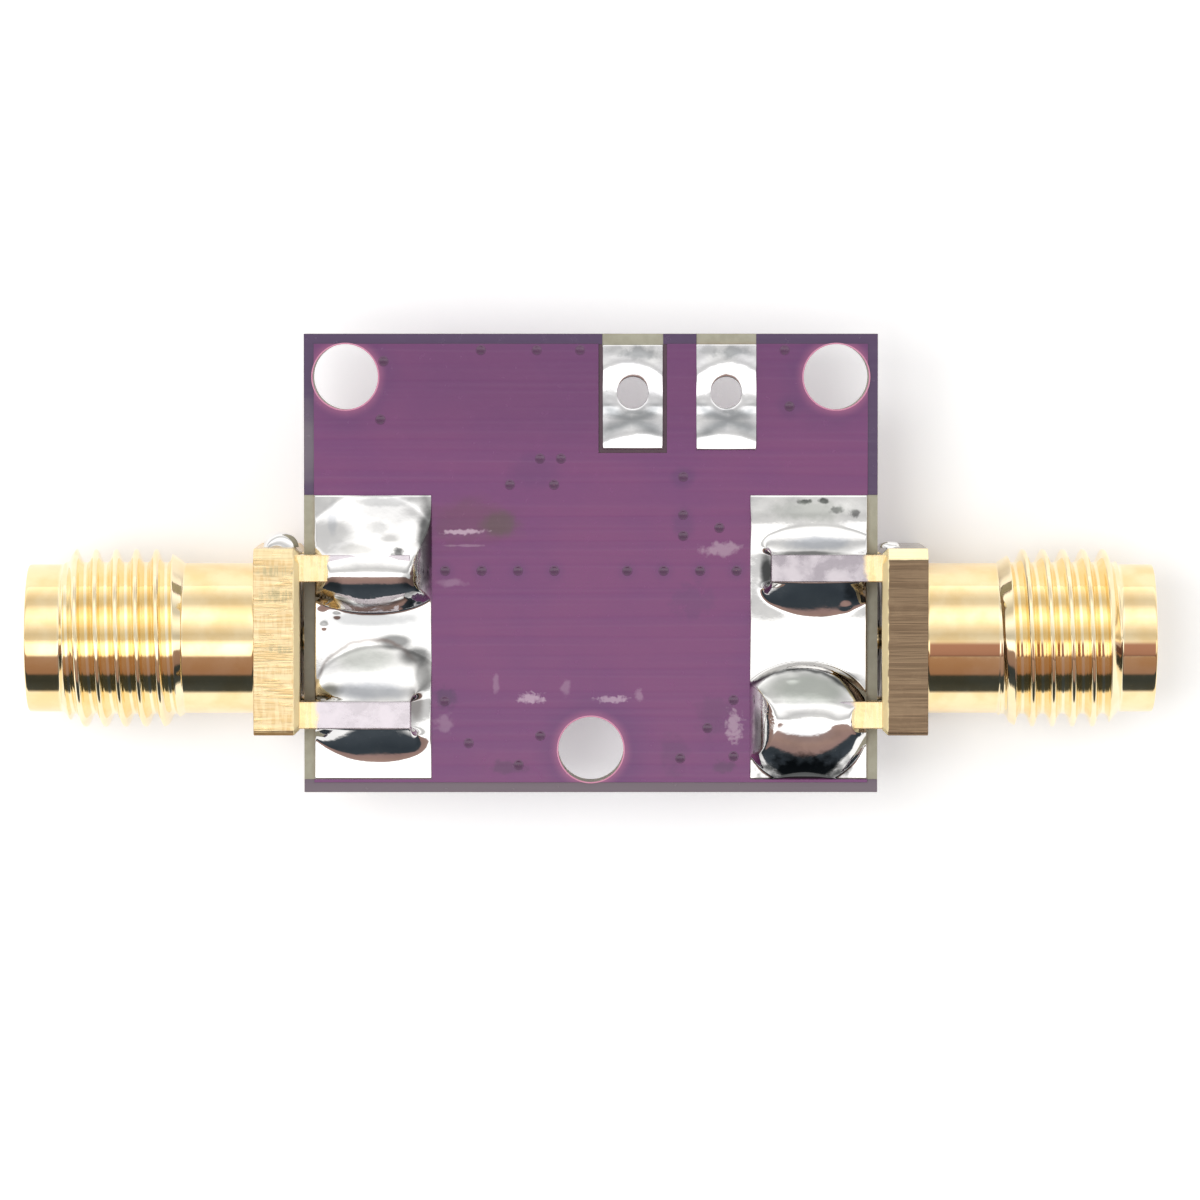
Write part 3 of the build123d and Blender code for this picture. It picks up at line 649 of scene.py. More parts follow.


# painted reflections and painted shade on the back solder: dark and tinted places where its slopes would
# reflect the dark surroundings
paintedReflectionTones = {"grey": (0.25, 0.255, 0.26, 1), "dark": (0.03, 0.033, 0.034, 1), "olive": (0.09, 0.08, 0.04, 1),
             "green": (0.42, 0.45, 0.40, 1), "blue": (0.33, 0.36, 0.42, 1), "brown": (0.10, 0.065, 0.055, 1)}
solderPaintedReflections = {
    -1: {
        "reflectionSpots": [
            ((-5.7, 0.7), (0.42, 2.2), 0.8, 1.5, 0.85, "dark"),
            ((-6.7, 0.4), (0.34, 0.26), 1.8, 4.0, 0.8, "dark"),
            ((-7.4, 1.25), (0.55, 0.3), 1.2, 2.0, 0.4, "grey"),
            ((-9.0, 1.55), (0.22, 0.8), 0.8, 2.0, 0.35, "blue"),
            ((-8.2, 0.5), (0.9, 0.3), 1.0, 2.0, 0.25, "olive"),
            ((-7.3, 2.15), (1.6, 0.22), 1.4, 2.5, 0.4, "grey"),
            ((-6.25, -0.55), (0.5, 0.45), 0.8, 1.5, 0.6, "dark"),
            ((-9.1, -0.75), (0.7, 0.45), 1.0, 2.0, 0.55, "olive"),
            ((-6.85, -2.72), (0.95, 0.36), 0.5, 1.2, 0.8, "dark"),
            ((-6.1, -3.2), (0.8, 0.5), 0.5, 1.2, 0.8, "dark"),
            ((-7.6, -1.95), (2.7, 0.42), 0.6, 1.2, 0.72, "grey"),
            ((-5.85, -3.9), (0.42, 0.8), 0.5, 1.2, 0.6, "dark"),
            ((-9.1, -4.45), (0.6, 0.45), 0.8, 1.5, 0.75, "olive"),
            ((-7.7, -4.45), (1.7, 0.45), 0.8, 1.2, 0.5, "blue"),
            ((-7.9, -3.35), (1.4, 0.6), 0.6, 1.2, 0.5, "green"),
            ((-6.1, -4.9), (0.35, 0.8), 0.6, 1.5, 0.5, "brown"),
        ],
        "reflectionArcs": [
            ((-7.64, -4.84), (2.05, 2.17), 0.06, (-0.35, 0.94), 0.55, "brown"),
            ((-7.7, -0.3), (1.95, 1.15), 0.10, (0.35, -0.94), 0.6, "dark"),
        ],
    },
    1: {
        "reflectionSpots": [
            ((7.45, 2.15), (0.3, 0.14), 1.8, 4.0, 0.9, "dark"),
            ((8.1, 2.18), (0.25, 0.14), 1.8, 4.0, 0.9, "dark"),
            ((8.55, 1.85), (0.3, 0.16), 1.8, 4.0, 0.7, "dark"),
            ((9.2, 1.75), (0.25, 0.2), 1.8, 4.0, 0.7, "dark"),
            ((7.6, 1.85), (1.9, 0.5), 1.2, 2.5, 0.45, "green"),
            ((7.9, 0.72), (1.7, 0.3), 1.0, 1.5, 0.6, "blue"),
            ((7.5, 0.36), (1.7, 0.12), 0.6, 2.0, 0.75, "dark"),
            ((6.12, -0.25), (0.3, 0.85), 0.6, 2.0, 0.9, "dark"),
            ((9.15, -0.9), (0.5, 0.55), 1.0, 2.5, 0.7, "dark"),
            ((8.4, -1.95), (0.9, 0.2), 1.4, 3.0, 0.35, "grey"),
            ((7.5, -4.35), (2.0, 0.75), 0.5, 1.2, 0.75, "green"),
            ((8.9, -4.0), (0.7, 0.3), 0.6, 1.5, 0.6, "dark"),
            ((5.85, -5.9), (0.3, 1.2), 0.6, 1.5, 0.7, "dark"),
            ((7.45, -7.3), (2.3, 0.95), 1.0, 3.5, 0.95, "dark"),
            ((7.6, -5.9), (1.4, 0.35), 0.8, 1.5, 0.35, "blue"),
        ],
        "reflectionArcs": [
            ((7.2, -5.7), (2.35, 2.0), 0.06, (0.15, 0.98), 0.85, "dark"),
        ],
    },
}

# levels are the solder's heights between the legs, by place along y
# lumps are small rises: place, radii and height
# each mound leans on a leg: how far its foot reaches from the leg's middle line and to each side, how high
# it stands against the leg above and below, and how its slopes run: foot is the share of an even slope and
# power bends the hollow rest
backJoints = {
    -1: {
        "film": 0.04, "step": 0.04, "ripple": 0.007, "seed": 0.0,
        "levels": [(-7.6, 0.05), (-6.1, 0.13), (-5.0, 0.06), (-3.0, 0.04), (-1.3, 0.15), (0.0, 0.1),
                   (1.2, 0.2), (2.4, 0.06)],
        "mounds": [
            {"legY": -0.15, "middle": -7.6, "side": 2.9, "up": 2.75, "down": 1.76, "upHeight": 1.16,
             "downHeight": 1.08, "upFoot": 0.9, "upPower": 1.6, "downFoot": 0.8, "downPower": 1.6,
             "crest": -0.2, "rounding": 0.5, "endShare": 0.9},
            {"legY": -5.25, "middle": -7.36, "side": 2.7, "up": 2.4, "down": 2.0, "upHeight": 0.74,
             "downHeight": 0.86, "upFoot": 0.28, "upPower": 2.6, "downFoot": 0.3, "downPower": 1.9,
             "upRim": 0.07, "endShare": 0.5},
        ],
        "lumps": [(-8.9, 1.5, 0.5, 0.5, -0.08), (-6.2, 1.6, 0.35, 0.5, 0.05), (-7.0, 0.75, 0.3, 0.2, 0.04),
                  (-9.35, -1.45, 0.2, 0.16, 0.06), (-8.85, -1.8, 0.14, 0.12, 0.04),
                  (-6.6, 0.35, 0.25, 0.16, -0.05), (-9.3, -2.2, 0.12, 0.12, 0.04)],
    },
    1: {
        "film": 0.04, "step": 0.04, "ripple": 0.007, "seed": 1.7,
        "levels": [(-7.6, 0.05), (-5.2, 0.12), (-3.9, 0.04), (-1.9, 0.17), (-0.9, 0.12), (0.6, 0.1),
                   (1.5, 0.19), (2.4, 0.06)],
        "mounds": [
            {"legY": -0.15, "middle": 7.9, "side": 2.5, "up": 2.1, "down": 2.2, "upHeight": 0.66,
             "downHeight": 0.86, "upFoot": 0.3, "upPower": 2.3, "downFoot": 0.22, "downPower": 1.5,
             "upRim": 0.05, "endShare": 0.4},
            {"legY": -5.25, "middle": 7.45, "side": 2.35, "up": 1.85, "down": 2.6, "upHeight": 1.17,
             "downHeight": 1.17, "upFoot": 0.5, "upPower": 1.3, "downFoot": 1.75, "downPower": 1.9,
             "crest": -0.1, "rounding": 0.6, "upRim": 0.3, "endShare": 0.9},
        ],
        "lumps": [(9.2, -6.6, 0.25, 0.5, 0.06), (5.95, -6.8, 0.25, 0.6, 0.08), (7.0, -4.0, 0.25, 0.12, 0.02),
                  (8.9, -1.5, 0.18, 0.16, 0.04), (6.5, -5.4, 0.35, 0.2, 0.04), (8.6, -5.5, 0.3, 0.25, 0.04)],
    },
}


def moundHeight(x, y, mound, legLength, legHalf):
    # solder drawn up to a leg, running out hollow to its foot
    out = 1 if mound["middle"] > 0 else -1
    legMiddle = out * (pads["outerX"] + 0.3 - legLength / 2)
    dx = np.maximum(np.abs(x - legMiddle) - legLength / 2, 0)
    if "crest" in mound:
        # the leg is drowned: both slopes run on over it to a rounded ridge
        dy = np.abs(y - mound["legY"] - mound["crest"])
        toLeg = np.hypot(np.hypot(dx, dy), mound["rounding"]) - mound["rounding"]
    else:
        dy = np.maximum(np.abs(y - mound["legY"]) - legHalf, 0)
        toLeg = np.hypot(dx, dy)
    up = y > mound["legY"]
    reach = np.where(up, mound["up"], mound["down"])
    fromMiddle = np.hypot(x - mound["middle"], y - mound["legY"])
    spread = np.hypot((x - mound["middle"]) / mound["side"], (y - mound["legY"]) / reach)
    # from the middle to the foot, evened out near the middle
    ray = np.hypot(fromMiddle, 0.4) / np.hypot(spread, 0.4 / mound["side"])
    toFoot = np.maximum(ray * (1 - spread), 0)
    share = toFoot / np.maximum(toFoot + toLeg, 1e-6)
    turn = np.clip((y - mound["legY"]) / 0.5, -1, 1) * 0.5 + 0.5  # the two sides blend round the leg's end
    edge = 1 - np.exp(-toFoot / 0.14)

    def side(word):
        foot, power, rim = mound[word + "Foot"], mound[word + "Power"], mound.get(word + "Rim", 0.0)
        return (mound[word + "Height"] - rim) * (foot * share + (1 - foot) * share ** power) + rim * edge

    offEnd = (dx / np.maximum(np.hypot(dx, dy), 1e-6)) ** 2
    return (side("down") * (1 - turn) + side("up") * turn) * (1 - (1 - mound["endShare"]) * offEnd)


def jointHeight(x, y, outline, spec):
    x0, x1, y0, y1 = outline
    legLength, legHalf = spec.get("legLength", 3.67), spec.get("legHalf", jack["legWidth"] / 2)
    if "levels" in spec:
        places, heights = zip(*spec["levels"])
        height = sum(np.interp(y + shift, places, heights) for shift in np.linspace(-0.3, 0.3, 13)) / 13
    else:
        height = np.full(x.shape, spec["film"])
    for mound in spec["mounds"]:
        height = softMax(height, moundHeight(x, y, mound, legLength, legHalf), 0.03)
    for lx, ly, rx, ry, rise in spec["lumps"]:
        height = height + rise * np.exp(-((x - lx) / rx) ** 2 - ((y - ly) / ry) ** 2)
    rise, shift = spec.get("ripple", 0.0), spec.get("seed", 0.0)
    slow = np.sin(1.9 * x + 1.2 * y + shift) * np.sin(2.6 * y - 0.7 * x + 2 * shift)
    height = height + rise * (slow + 0.3 * np.sin(4.3 * x - 2.9 * y + 3 * shift))
    toOuter, toInner = (x1 - x, x - x0) if x0 > 0 else (x - x0, x1 - x)
    toEdge = np.minimum(toInner, np.minimum(y - y0, y1 - y))
    toOuter = np.maximum(toOuter, 0)
    outerCap = np.minimum(3.5 * toOuter ** 0.6, 0.55 + 0.95 * toOuter)  # the last of each leg stays bare
    cap = np.minimum(1.25 * np.maximum(toEdge, 0) ** 0.7, outerCap)
    return np.maximum(softMin(height, cap, 0.03), 0.0)


def makeHeap(name, outline, seat, direction, spec, material, *nodes):
    # a lump of solder on a flat seat, as a grid of heights with a closed foot
    x0, x1, y0, y1 = outline
    columns = max(int((x1 - x0) / spec["step"]), 8) + 1
    rows = max(int((y1 - y0) / spec["step"]), 8) + 1
    xs, ys = np.meshgrid(np.linspace(x0, x1, columns), np.linspace(y0, y1, rows))
    heights = jointHeight(xs, ys, outline, spec)
    top = np.stack([xs.ravel(), ys.ravel(), (seat + direction * (0.004 + heights)).ravel()], axis=1)
    faces = gridFaces(rows, columns)
    border = list(range(columns)) + [i * columns + columns - 1 for i in range(1, rows)]
    border += [(rows - 1) * columns + j for j in range(columns - 2, -1, -1)]
    border += [i * columns for i in range(rows - 2, 0, -1)]
    first = len(top)
    foot = [(top[k][0], top[k][1], seat) for k in border]
    for k in range(len(border)):
        n = (k + 1) % len(border)
        faces.append((border[k], first + k, first + n, border[n]))
    faces.append(tuple(range(first + len(border) - 1, first - 1, -1)))
    if direction < 0:
        faces = [tuple(reversed(face)) for face in faces]
    return finishPiece(buildMesh(name, np.vstack([top, foot]), faces), material, "solder", *nodes)


# joints on the component side have one mound each
frontJoint = {"film": 0.03, "step": 0.08, "ripple": 0.01}
frontMound = {"side": 2.4, "upHeight": 0.72, "downHeight": 0.72, "upFoot": 0.3, "upPower": 1.8,
              "downFoot": 0.3, "downPower": 1.8, "endShare": 0.6}
frontReach = {"near": 1.08, "far": 1.68, "outer": 2.0, "inner": 1.6}
pinJoint = {"film": 0.02, "step": 0.05, "lumps": [], "legLength": 2.4, "legHalf": 0.25}
pinMound = {"side": 1.6, "up": 0.85, "down": 0.85, "upHeight": 0.6, "downHeight": 0.6, "upFoot": 0.4,
            "upPower": 1.6, "downFoot": 0.4, "downPower": 1.6, "endShare": 0.7}
pinReach = {"innerX": 6.9, "middle": 8.5, "half": 0.69}
solderMaterial = solderLook("brightSolder")
heapMaterials = {side: solderLook("heapSolder" + word.capitalize(), **solderPaintedReflections[side])
                 for side, word in sideWords.items()}
for side, word in sideWords.items():
    xs = sorted((side * pads["outerX"], side * pads["innerX"]))
    outline = (*xs, pads["lowY"], pads["highY"])
    makeHeap(word + "BackSolder", outline, backFoil, 1, backJoints[side], heapMaterials[side],
             word + "_back_solder")
    for end in (-1, 1):
        legY = jack["axisY"] + end * jack["legOffset"]
        ys = sorted((jack["axisY"] + end * frontReach["near"], legY + end * frontReach["far"]))
        up, down = frontReach["outer"], frontReach["inner"]
        if end < 0:
            up, down = down, up
        mound = {**frontMound, "legY": legY, "middle": side * 7.6, "up": up, "down": down}
        lumps = [(side * 7.0, legY + end * 0.9, 0.5, 0.4, 0.05)]
        spec = {**frontJoint, "seed": side + 2 * end, "lumps": lumps, "mounds": [mound]}
        makeHeap(word + endWords[end] + "FrontSolder", (*xs, *ys), frontFoil, -1, spec, solderMaterial,
                 word + "_front_solder")
    mound = {**pinMound, "legY": jack["axisY"], "middle": side * pinReach["middle"]}
    pinXs = sorted((side * pads["outerX"], side * pinReach["innerX"]))
    outline = (*pinXs, jack["axisY"] - pinReach["half"], jack["axisY"] + pinReach["half"])
    makeHeap(word + "PinSolder", outline, frontFoil, -1, {**pinJoint, "mounds": [mound]}, solderMaterial,
             word + "_pin_solder")
print("stage: solder made")

# printed board
boardLook = {
    "maskCopper": (0.188, 0.042, 0.150, 1), "maskCopperOther": (0.158, 0.036, 0.148, 1),
    "maskBare": (0.074, 0.036, 0.098, 1), "maskBareLow": (0.145, 0.105, 0.13, 1),
    "maskRim": (0.66, 0.27, 0.40, 1), "laminate": (0.33, 0.31, 0.23, 1),
    "laminateGlass": (0.41, 0.39, 0.30, 1),
    "trench": (0.10, 0.055, 0.075, 1), "flangeGapShadow": (0.12, 0.11, 0.095, 1), "copper": (0.90, 0.52, 0.36, 1),
    "copperDull": (0.72, 0.42, 0.3, 1), "streakHeight": 0.004, "halo": (0.085, 0.028, 0.12, 1),
    "holeRing": (0.72, 0.22, 0.36, 1), "via": (0.072, 0.018, 0.062, 1), "viaOther": (0.09, 0.022, 0.08, 1),
}

# marks that soldering left on the coat: centre, radii, how ragged, strength and colour
residues = [
    ((-4.2, 1.45), (2.1, 1.1), 1.0, 1.5, 0.35, (0.11, 0.045, 0.055, 1)),
    ((-3.2, 1.4), (1.0, 0.6), 0.9, 1.8, 0.6, (0.085, 0.065, 0.045, 1)),
    ((-4.4, 1.1), (0.95, 0.12), 1.9, 6.0, 0.7, (0.62, 0.45, 0.55, 1)),
    ((-4.5, 0.62), (0.9, 0.06), 1.5, 4.0, 0.35, (0.45, 0.30, 0.40, 1)),
    ((-4.85, -0.68), (0.6, 0.18), 1.6, 3.0, 0.35, (0.42, 0.28, 0.38, 1)),
    ((4.5, 0.5), (0.8, 0.3), 1.8, 4.0, 0.5, (0.50, 0.36, 0.44, 1)),
    ((3.5, -1.3), (1.0, 0.8), 1.5, 3.0, 0.3, (0.09, 0.035, 0.12, 1)),
    ((-3.31, -4.2), (0.14, 0.42), 1.4, 4.0, 0.35, (0.42, 0.28, 0.38, 1)),
    ((-0.86, -4.35), (0.22, 0.38), 1.4, 4.0, 0.35, (0.42, 0.28, 0.38, 1)),
    ((-2.07, -4.72), (0.55, 0.24), 2.0, 7.0, 0.65, (0.58, 0.42, 0.52, 1)),
    ((0.75, -4.75), (0.7, 0.16), 2.0, 7.0, 0.6, (0.58, 0.42, 0.52, 1)),
    ((1.7, -4.6), (0.18, 0.28), 1.6, 5.0, 0.4, (0.45, 0.30, 0.40, 1)),
    ((-5.1, -4.7), (0.5, 0.45), 1.6, 3.5, 0.6, (0.06, 0.025, 0.08, 1)),
    ((-5.1, -5.6), (0.45, 0.4), 1.6, 3.5, 0.35, (0.42, 0.28, 0.38, 1)),
    ((-2.9, -7.1), (0.8, 0.35), 1.6, 3.5, 0.5, (0.07, 0.03, 0.075, 1)),
    ((2.9, -6.7), (0.6, 1.0), 1.4, 2.5, 0.35, (0.085, 0.03, 0.10, 1)),
    ((4.3, -5.3), (0.8, 1.0), 1.4, 2.5, 0.35, (0.085, 0.03, 0.10, 1)),
    ((5.0, -5.7), (0.35, 0.7), 2.0, 6.0, 0.55, (0.52, 0.38, 0.46, 1)),
    ((4.7, -7.1), (0.5, 0.3), 1.8, 5.0, 0.5, (0.07, 0.03, 0.075, 1)),
    ((3.22, 3.0), (0.55, 0.5), 0.6, 1.5, 0.4, (0.075, 0.025, 0.11, 1)),
    ((3.22, 1.4), (0.55, 0.8), 0.6, 1.5, 0.35, (0.075, 0.025, 0.11, 1)),
    ((-2.0, 3.2), (1.3, 0.8), 0.6, 1.5, 0.3, (0.085, 0.028, 0.12, 1)),
    ((6.9, 5.47), (0.6, 0.6), 0.6, 1.5, 0.4, (0.075, 0.025, 0.11, 1)),
]
residues += [((0.0, 6.6), (14.0, 3.6), 0.3, 0.5, 0.6, (0.126, 0.03, 0.122, 1))]
for centre in mountHoles["centres"]:
    residues.append((centre, (2.3, 2.3), 0.3, 1.0, 0.5, boardLook["halo"]))
for centre in mountHoles["centres"]:
    residues.append((centre, (1.52, 1.52), 0.1, 1.0, 0.95, boardLook["holeRing"]))
bareResidues = [((0.0, -7.95), (40.0, 0.9), 0.1, 1.0, 1.0, boardLook["maskBareLow"]),
                ((-9.9, 4.2), (0.9, 1.9), 0.6, 1.5, 0.8, (0.17, 0.14, 0.165, 1))]


def maskLook(name, first, second, marks=(), fence=False):
    look = Look(name).set(Coat_Weight=0.3, Coat_Roughness=0.06, IOR=1.5)
    streaks = look.use(scaledNoise, Cycles=(0.06, 2.9, 0.5), Detail=1.0, Low=0.38, High=0.62)
    cloud = look.use(scaledNoise, Cycles=(0.3, 0.3, 0.3), Detail=4.0)
    both = look.math("ADD", look.math("MULTIPLY", streaks, 0.4), look.math("MULTIPLY", cloud, 0.6))
    tone = look.mixColours(both, first, second)
    for (x, y), (rx, ry), ragged, grain, strength, colour in marks:
        spot = look.use(spotMask, Centre=(x, y, backTop), Radii=(rx, ry, 0.2), Ragged=ragged, Grain=grain)
        tone = look.mark(tone, spot, strength, colour)
    if fence:
        halo = look.use(fenceHalo, Level=vias["fenceLevel"], Step=vias["fenceStep"])
        tone = look.mark(tone, halo, 0.4, boardLook["halo"])
    look.feed("Base Color", tone)
    dust = look.use(scaledNoise, Cycles=(3.0, 3.0, 3.0), Detail=5.0, Low=0.5, High=0.75)
    look.feed("Roughness", look.mixValues(dust, 0.17, 0.3))
    look.bump(both, boardLook["streakHeight"])
    return look.material


def laminateLook():
    # glass cloth in resin: layers show on the edges, a faint weave on the faces
    look = Look("glassLaminate").set(Roughness=0.45, IOR=1.5)
    layers = look.use(scaledNoise, Cycles=(0.3, 0.3, 9.0), Detail=1.0)
    weave = look.use(scaledNoise, Cycles=(3.2, 3.2, 3.2), Detail=2.0)
    base = look.mixColours(look.math("MULTIPLY", look.math("ADD", layers, weave), 0.5),
                           boardLook["laminate"], boardLook["laminateGlass"])
    trench = look.use(boxMask, Centre=(wirePads["plusX"], 5.67, 5.22), Half=(1.25, 1.98, 0.02),
                      Softness=0.03, Ragged=0.02, Grain=3.0)
    above = look.use(boxMask, Centre=(wirePads["plusX"], 7.8, 5.22), Half=(wirePads["width"] / 2, 0.24, 0.02),
                     Softness=0.02)
    base = look.mixColours(look.math("MULTIPLY", trench, look.math("SUBTRACT", 1.0, above)), base,
                           boardLook["trench"])
    # painted shadow on the bare laminate between the board's edge and each flange, deeper on the left
    for side, strength in ((-1, 0.6), (1, 0.25)):
        shadedStrip = look.use(boxMask, Centre=(side * 9.84, jack["axisY"], 5.2), Half=(0.2, 2.0, 0.1),
                           Softness=0.12, Ragged=0.3, Grain=3.0)
        base = look.mark(base, shadedStrip, strength, boardLook["flangeGapShadow"])
    look.feed("Base Color", base)
    look.bump(layers, 0.006)
    return look.material


copperMaterial = plainLook("copperFoil", 2.0, 4.0, boardLook["copper"], boardLook["copperDull"], (0.28, 0.45),
                           settings={"Metallic": 1.0})
laminateMaterial = laminateLook()
maskMaterial = maskLook("solderMask", boardLook["maskCopper"], boardLook["maskCopperOther"], residues,
                        fence=True)
maskBareMaterial = maskLook("solderMaskOverLaminate", boardLook["maskBare"], boardLook["maskBare"],
                            bareResidues)
maskRimMaterial = maskLook("solderMaskRim", boardLook["maskRim"], boardLook["maskRim"])
viaMaterial = maskLook("solderMaskVia", boardLook["via"], boardLook["viaOther"])

for nodeName, material in (
        ("board_laminate", laminateMaterial), ("ground_foil_back", copperMaterial),
        ("ground_foil_front", copperMaterial),
        ("rf_line_left", copperMaterial), ("rf_line_right", copperMaterial),
        ("choke_link_trace", copperMaterial),
        ("supply_trace", copperMaterial), ("solder_mask_front", maskMaterial)):
    paint(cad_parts[nodeName].data, material)


def holeArc(side, start, end, count=40):
    centre = mountHoles["centres"][1]
    points = circle(centre[0], centre[1], mountHoles["radius"], count, start, end)
    return [(side * x, y) for x, y in points]


def pourEdges():
    # where the pour's edges meet the upper mounting holes
    halfX = board["halfWidth"] - board["pullback"]
    halfY = board["halfHeight"] - board["pullback"]
    cx, cy = mountHoles["centres"][1]
    r = mountHoles["radius"]
    sideAngle = math.degrees(math.acos((halfX - cx) / r))
    topAngle = math.degrees(math.asin((halfY - cy) / r))
    return halfX, halfY, sideAngle, topAngle


def copperCoatOutline():
    halfX, halfY, sideAngle, topAngle = pourEdges()
    plus, minus, half = wirePads["plusX"], wirePads["minusX"], wirePads["width"] / 2
    trench = half + wirePads["trenchSide"]
    trenchLow = wirePads["plusSpan"][0] - wirePads["trenchFoot"]
    minusLow = wirePads["minusSpan"][0]
    loop = [(-halfX, -halfY), (halfX, -halfY), (halfX, pads["lowY"]), (pads["innerX"], pads["lowY"]),
            (pads["innerX"], pads["highY"]), (halfX, pads["highY"])]
    loop += holeArc(1, -sideAngle, topAngle - 360 + 2 * (90 - topAngle), 72)
    loop += [(minus + half, halfY), (minus + half, minusLow), (minus - half, minusLow), (minus - half, halfY),
             (plus + trench, halfY), (plus + trench, trenchLow), (plus - trench, trenchLow),
             (plus - trench, halfY)]
    loop += list(reversed(holeArc(-1, -sideAngle, topAngle - 360 + 2 * (90 - topAngle), 72)))
    loop += [(-halfX, pads["highY"]), (-pads["innerX"], pads["highY"]), (-pads["innerX"], pads["lowY"]),
             (-halfX, pads["lowY"])]
    return loop


def cornerOutline(side):
    halfX, halfY, sideAngle, topAngle = pourEdges()
    return [(side * halfX, halfY)] + holeArc(side, topAngle, sideAngle, 20)


def edgeCoatOutlines():
    halfX, halfY, sideAngle, topAngle = pourEdges()
    outX, outY = board["halfWidth"] - board["coatEdge"], board["halfHeight"] - board["coatEdge"]
    half = wirePads["width"] / 2
    plusLow, plusHigh = wirePads["plusX"] - half - 0.02, wirePads["plusX"] + half + 0.02
    minusLow, minusHigh = wirePads["minusX"] - half, wirePads["minusX"] + half
    loops = [[(-outX, -outY), (outX, -outY), (outX, pads["lowY"]), (halfX, pads["lowY"]), (halfX, -halfY),
              (-halfX, -halfY), (-halfX, pads["lowY"]), (-outX, pads["lowY"])],
             [(plusHigh, halfY), (minusLow, halfY), (minusLow, outY), (plusHigh, outY)]]
    for side, near in ((1, minusHigh), (-1, plusLow)):
        loop = [(side * halfX, pads["highY"]), (side * outX, pads["highY"]), (side * outX, outY),
                (near, outY), (near, halfY)]
        loop += holeArc(side, 180 - topAngle, topAngle, 8)
        loop += [(side * halfX, halfY)]
        loop += holeArc(side, sideAngle, -sideAngle, 12)
        loops.append(loop)
    return loops


def makeViaDimple(x, y):
    # the mask sinks into the tented hole and closes over it
    radius, dip = vias["radius"], vias["dip"]
    rings = [(radius + 0.03, 0.001), (radius - 0.01, -0.001), (radius * 0.8, -0.4 * dip),
             (radius * 0.55, -0.8 * dip), (radius * 0.3, -0.95 * dip), (0.004, -dip)]
    points = []
    for reach, drop in rings:
        points += [(px, py, backTop + drop) for px, py in circle(x, y, reach, 24)]
    return buildMesh("dimple", points, gridFaces(len(rings), 24, wrap=True))


def joinPieces(name, pieces):
    # one mesh from several, so that repeated small shapes count as one piece
    whole = bpy.data.meshes.new(name)
    points, faces = [], []
    for piece in pieces:
        first = len(points)
        points += [tuple(v.co) for v in piece.data.vertices]
        faces += [tuple(first + k for k in polygon.vertices) for polygon in piece.data.polygons]
        old = piece.data
        bpy.data.objects.remove(piece)
        bpy.data.meshes.remove(old)
    whole.from_pydata(points, [], faces)
    for polygon in whole.polygons:
        polygon.use_smooth = True
    return addObject(name, whole)


viaPlaces = [(side * (k + 1) * vias["fenceStep"], vias["fenceLevel"]) for k in range(vias["fenceCount"])
             for side in (-1, 1)] + vias["loose"]
lowerHole = mountHoles["centres"][2]
coatLoops = [copperCoatOutline(), circle(*lowerHole, mountHoles["radius"], 96)]
coatLoops += [circle(x, y, vias["radius"], 24) for x, y in viaPlaces]
backCoat = sheetFrom("backCoat", coatLoops, backFoil, backTop, 0.01)
finishPiece(backCoat, maskMaterial, "solder_mask", "solder_mask_back")
dimples = joinPieces("viaDimples", [makeViaDimple(x, y) for x, y in viaPlaces])
finishPiece(dimples, viaMaterial, "solder_mask", "solder_mask_back")
laminateTop = board["laminateHigh"]
cornerCoats = sheetFrom("cornerCoats", [cornerOutline(1), cornerOutline(-1)], laminateTop + 0.002, backTop,
                        0.01)
finishPiece(cornerCoats, maskMaterial, "solder_mask", "solder_mask_back")
edgeCoat = sheetFrom("edgeCoat", edgeCoatOutlines(), laminateTop + 0.001, laminateTop + board["mask"], 0.01)
finishPiece(edgeCoat, maskBareMaterial, "solder_mask", "solder_mask_back")


# the piled-up coat round a hole: how far out and how far up, from its inner foot outwards
rimProfile = [(-0.012, -0.03), (-0.014, 0.0), (0.0, 0.01), (0.02, 0.008), (0.036, 0.0)]


def makeHoleRim(x, y):
    # the coat piles up a little where the drill cut it
    points = []
    for out, up in rimProfile:
        points += [(px, py, backTop + up) for px, py in circle(x, y, mountHoles["radius"] + out, 96)]
    return buildMesh("rim", points, [tuple(reversed(f)) for f in gridFaces(len(rimProfile), 96, wrap=True)])


rims = joinPieces("holeRims", [makeHoleRim(x, y) for x, y in mountHoles["centres"]])
finishPiece(rims, maskRimMaterial, "solder_mask")
print("stage: board made")

# wire pads, tinned by dipping: thin lumpy tin that runs back from the edges and round the hole
tin = {
    "film": 0.03, "edge": 0.04, "rays": 200, "lip": 0.025,
    "archTop": 1.05, "archRise": 0.075, "archWidth": 0.42, "footRise": 0.075, "footTop": -1.45,
    "footWidth": 0.4, "cheek": (0.85, 0.03, 0.3),
    "crossCentre": -0.97, "crossSlope": 0.42, "crossWidth": 0.42,
    "bright": (0.88, 0.87, 0.86, 1), "soft": (0.78, 0.77, 0.78, 1), "dull": (0.27, 0.285, 0.295, 1),
    # duller spots on each pad: place from the middle of its upper edge, radii and strength
    "smudges": [((0.25, -0.28), (0.85, 0.3), 0.65), ((-0.55, -0.2), (0.6, 0.25), 0.3),
                ((-0.9, -1.2), (0.25, 0.2), 0.5), ((0.05, -2.35), (0.4, 0.12), 0.5)],
}


